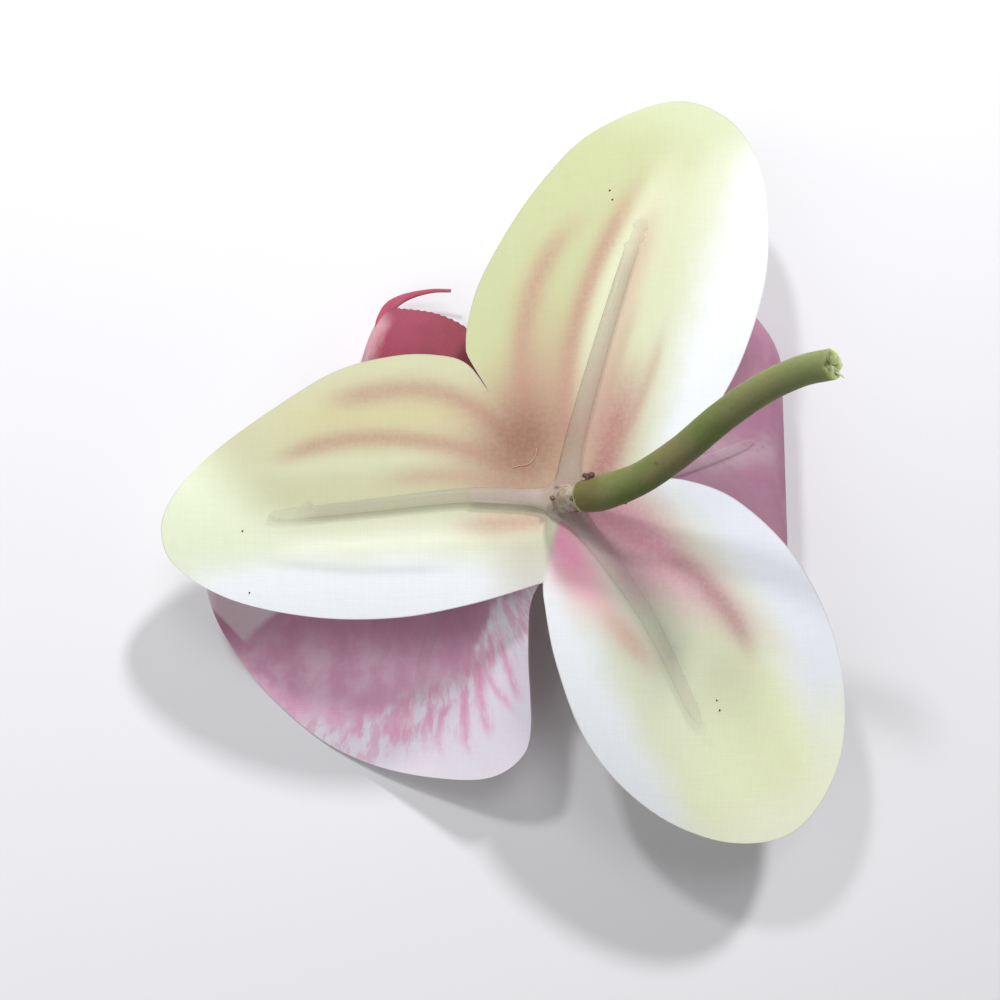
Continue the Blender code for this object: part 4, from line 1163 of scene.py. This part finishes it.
def rib_arm(name, line, widths, heights, place, lobe):
    """One half-round arm of a rib that lies along the cloth, flared where it leaves the hub."""
    run = smooth_run(line, ARM_ROWS)
    start = hypot(*run[0])
    radii = []
    for i, point in enumerate(run):
        t = i / ARM_ROWS
        half = widths[0] + (widths[1] - widths[0]) * t
        half += ARM_FLARE * exp(-(hypot(*point) - start) / ARM_FLARE_REACH)
        radii.append(half * sqrt(max(1 - smoothstep(*ARM_ROUND_END, t), 0.01)))
    arm = bar(name, [(x, y, 0.0) for x, y in run], radii)
    for vertex in arm.data.vertices:
        x, y, height = from_pin(vertex)
        i = min(range(ARM_ROWS + 1), key=lambda n: hypot(x - run[n][0], y - run[n][1]))
        full = heights[0] + (heights[1] - heights[0]) * i / ARM_ROWS
        rise = full * max(height / radii[i], 0.0) ** ARM_FLATNESS if height > 0 else -ARM_SUNK
        vertex.co = in_frame(lifted(place, x, y, lobe, CLOTH / 2 + rise))
    return arm


def one_skin(piece, voxel=RIB_SKIN):
    """Melts overlapping shells into one smooth skin."""
    modified(piece, "REMESH", mode="VOXEL", voxel_size=voxel * MM, use_smooth_shade=True)
    modified(piece, "SMOOTH", factor=0.5, iterations=3)
    return smooth_shaded(piece)


def hub_plate(name, base_z):
    """The round plate where a rib's arms meet."""
    middle = in_frame((0, 0, base_z + CLOTH / 2 + HUB_HEIGHT / 2 - ARM_SUNK))
    bpy.ops.object.select_all(action="DESELECT")
    bpy.ops.mesh.primitive_cylinder_add(vertices=48, radius=HUB_RADIUS * MM, depth=HUB_HEIGHT * MM,
                                        location=middle)
    bpy.ops.object.transform_apply(location=True, rotation=True, scale=True)
    return modified(named(bpy.context.object, name), "BEVEL", width=0.25 * MM, segments=3)


def make_sepal_ribs():
    """The clear three-armed rib on the sepals' back, with the boss that the stem butts on."""
    parts = [rib_arm(f"sepal_arm_{k}", line, ARM_HALF_WIDTHS[k], ARM_HEIGHTS, sepal_place, k)
             for k, line in enumerate(SEPAL_ARMS)]
    parts.append(hub_plate("sepal_hub", SEPAL_Z))
    boss = pin_run(-BOSS_SUNK, BOSS_END, PIN_ROWS)
    swell = [BOSS_RADIUS + BOSS_COLLAR * exp(-((i - 5) / 2.5) ** 2) for i in range(PIN_ROWS + 1)]
    parts.append(bar("boss", boss, swell, 32))
    for k, (x, y, lift, radius) in enumerate(GROOVE_LIPS):
        middles = [(x + t * GROOVE_HALF_LENGTH, y - t * GROOVE_LEAN) for t in (-1, -0.5, 0, 0.5, 1)]
        run = [tuple(lifted(sepal_place, *middle, 1, CLOTH / 2 + lift)) for middle in middles]
        parts.append(bar(f"groove_lip_{k}", run, [radius] * 5, 12))
    for k, (x, y, size, lobe) in enumerate(RIB_GLUE):
        here = lifted(sepal_place, x, y, lobe, CLOTH / 2 + GLUE_LIFT)
        parts.append(crumb(f"glue_{k}", here, size, k * 3.1, 0.45, 0.3))
    piece = one_skin(joined("sepal_rib_bars", parts))
    dress(piece, clear_plastic(), "clear_plastic", "sepal_ribs")


def make_petal_ribs():
    """The clear two-armed rib on the petals' back."""
    parts = [rib_arm(f"petal_arm_{k}", line, PETAL_ARM_HALF_WIDTHS[k], PETAL_ARM_HEIGHTS, petal_place, k)
             for k, line in enumerate(PETAL_ARMS)]
    parts.append(hub_plate("petal_hub", PETAL_Z))
    piece = one_skin(joined("petal_rib_bars", parts))
    dress(piece, petal_rib_plastic(), "clear_plastic", "petal_ribs")


# Column, stem and small bits


def make_column():
    """The moulded column on the face side, its cap and wings, in one piece with the pin."""
    profile = smooth_run(COLUMN_PROFILE, 40)
    parts = [bar("column", [(0.0, 0.0, COLUMN_TOP_Z + z) for _, z in profile], [r for r, _ in profile], 32)]
    pin = pin_run(PIN_FOOT_Z - PIN_BEND_Z, PIN_END, PIN_ROWS)
    parts.append(bar("pin", pin, [PIN_RADIUS] * len(pin), 24))
    for k, side in enumerate((-1, 1)):
        for name, (x, y, drop), size, seed, squash in COLUMN_LUMPS:
            place = (x, side * y, COLUMN_TOP_Z - drop)
            parts.append(crumb(f"{name}_{k}", place, size, k + seed, squash))
    piece = one_skin(joined("column_body", parts), 0.15)
    dress(piece, column_plastic(), "column_plastic", "column")


def make_stem():
    """The green stem with its torn cut end."""
    start = [(*pin_point(length), radius)
             for length, radius in zip((BOSS_END + 0.1, PIN_END), STEM_START_RADII)]
    run = smooth_run(start + list(STEM_PATH), STEM_ROWS)
    stem = bar("stem_body", [p[:3] for p in run], [p[3] for p in run], 32)
    tear(stem, Vector(run[-1][:3]), Vector(run[-1][:3]) - Vector(run[-2][:3]))
    fibres = [bar(f"torn_fibre_{k}", smooth_run(ends, 6), [0.26 - 0.035 * i for i in range(7)], 8)
              for k, ends in enumerate(TORN_FIBRES)]
    dress(smooth_shaded(joined("stem_body", [stem, *fibres]), 55), stem_plastic(), "stem_plastic", "stem")


def tear(stem, centre, heading):
    """Sinks the cut face of the stem and tears its rim."""
    axis = heading.normalized()
    side = axis.cross(Vector((0, 0, 1))).normalized()
    rise = side.cross(axis)
    only(stem)
    bpy.ops.object.mode_set(mode="EDIT")
    bpy.ops.mesh.select_mode(type="FACE")
    bpy.ops.mesh.select_all(action="DESELECT")
    bpy.ops.object.mode_set(mode="OBJECT")
    for face in stem.data.polygons:
        face.select = len(face.vertices) == 3 and face.normal.dot(axis) > 0.8
    bpy.ops.object.mode_set(mode="EDIT")
    bpy.ops.mesh.dissolve_faces()
    bpy.ops.mesh.inset(thickness=CUT_RIM * MM)
    bpy.ops.mesh.inset(thickness=CUT_RIM * MM)
    bpy.ops.transform.translate(value=axis * -CUT_SUNK * MM)
    bpy.ops.mesh.poke()
    bpy.ops.mesh.subdivide(number_cuts=2)
    bpy.ops.object.mode_set(mode="OBJECT")
    for vertex in stem.data.vertices:
        offset = from_pin(vertex) - centre
        if abs(offset.dot(axis)) < CUT_RIM:
            turn = atan2(offset.dot(rise), offset.dot(side))
            wave = sum(height * sin(count * turn + start) for count, height, start in CUT_WAVES)
            rough = noise.noise(offset * 1.8)
            vertex.co += axis * (CUT_WAVE * wave + CUT_GRAIN * rough) * MM


def make_scraps():
    """Glue at the stem's foot, dark scraps beside it and specks on the cloth."""
    small_lumps("stem_glue", STEM_GLUE, plain_finish("brown_glue", tint(104, 82, 60), 0.45))
    dark = plain_finish("dark_scrap", tint(92, 64, 60), 0.8, 0.1)
    small_lumps("stem_scraps", STEM_SCRAPS, dark)
    specks = [(tuple(lifted(sepal_place, x, y, lobe, CLOTH / 2)), SPECK_SIZE) for lobe, x, y in SPECKS]
    small_lumps("specks", specks, dark)


def small_lumps(name, lumps, material):
    """Several small lumps in one piece."""
    parts = [crumb(f"{name}_{k}", place, size, k * 1.7 + 9, 0.8) for k, (place, size) in enumerate(lumps)]
    dress(smooth_shaded(joined(name, parts)), material, "stem_plastic")


def make_thread():
    """A loose thread that lies on the upper sepal."""
    line = [tuple(lifted(sepal_place, x, y, 0, CLOTH / 2 + THREAD_LIFT)) for x, y in LOOSE_THREAD]
    run = smooth_run(line, 24)
    thread = bar("loose_thread", run, [THREAD_RADIUS] * len(run), 8)
    dress(smooth_shaded(thread), plain_finish("thread_peach", tint(190, 150, 130), 0.7), "sepal_cloth")


# Stage
TABLE_SIZE = 3.0


def make_floor():
    """The plain pale table."""
    bpy.ops.object.select_all(action="DESELECT")
    bpy.ops.mesh.primitive_plane_add(size=TABLE_SIZE)
    floor = named(bpy.context.object, "floor")
    dye = Finish("pale_table", Base_Color=tint(227, 227, 231), Roughness=0.6, Specular_IOR_Level=0.25)
    floor.data.materials.append(dye.material)


# Lights: azimuth and elevation in degrees, distance and width in metres, power in watts
LIGHTS = (("right_lamp", 67.0, 38.0, 0.65, 0.06, 3.05),
          ("left_lamp", 115.0, 46.0, 0.55, 0.05, 1.09),
          ("ceiling_lamp", 74.0, 61.0, 0.50, 0.16, 0.42),
          ("window", 205.0, 45.0, 0.40, 0.50, 0.62))
ROOM_LIGHT = 0.14
ROOM_COLOUR = (1.0, 0.965, 0.95, 1.0)


def make_lights():
    """Three lamps towards the top of the picture, a broad window on the left, and an even room."""
    for name, azimuth, elevation, distance, width, power in LIGHTS:
        heading = Vector((*polar(azimuth, cos(radians(elevation))), sin(radians(elevation))))
        bpy.ops.object.light_add(type="AREA", location=heading * distance,
                                 rotation=heading.to_track_quat("Z", "Y").to_euler())
        lamp = bpy.context.object
        lamp.name = name
        lamp.data.shape = "DISK"
        lamp.data.size = width
        lamp.data.energy = power
    world = bpy.data.worlds.new("bright_room")
    world.use_nodes = True
    background = world.node_tree.nodes["Background"]
    background.inputs["Color"].default_value = ROOM_COLOUR
    background.inputs["Strength"].default_value = ROOM_LIGHT
    bpy.context.scene.world = world
    bpy.context.scene.view_settings.view_transform = "Standard"


# Camera: height above the table, place beside the pin, and half its view over the distance
CAMERA_HEIGHT = 171.3
CAMERA_OFFSET = -8.33
CAMERA_HALF_VIEW = 500 / 1150


def make_camera():
    """The camera looks straight down, a little to the left of the pin."""
    bpy.ops.object.camera_add(location=in_frame((CAMERA_OFFSET, 0.0, CAMERA_HEIGHT)), rotation=(0, 0, 0))
    camera = bpy.context.object
    camera.data.sensor_width = 36.0
    camera.data.lens = camera.data.sensor_width / 2 / CAMERA_HALF_VIEW
    camera.data.clip_start = 0.01
    bpy.context.scene.camera = camera


make_camera()
make_lights()
make_floor()
make_sepal_ribs()
make_petal_ribs()
make_column()
make_sepals()
make_petals()
make_lip()
make_stem()
make_scraps()
make_thread()
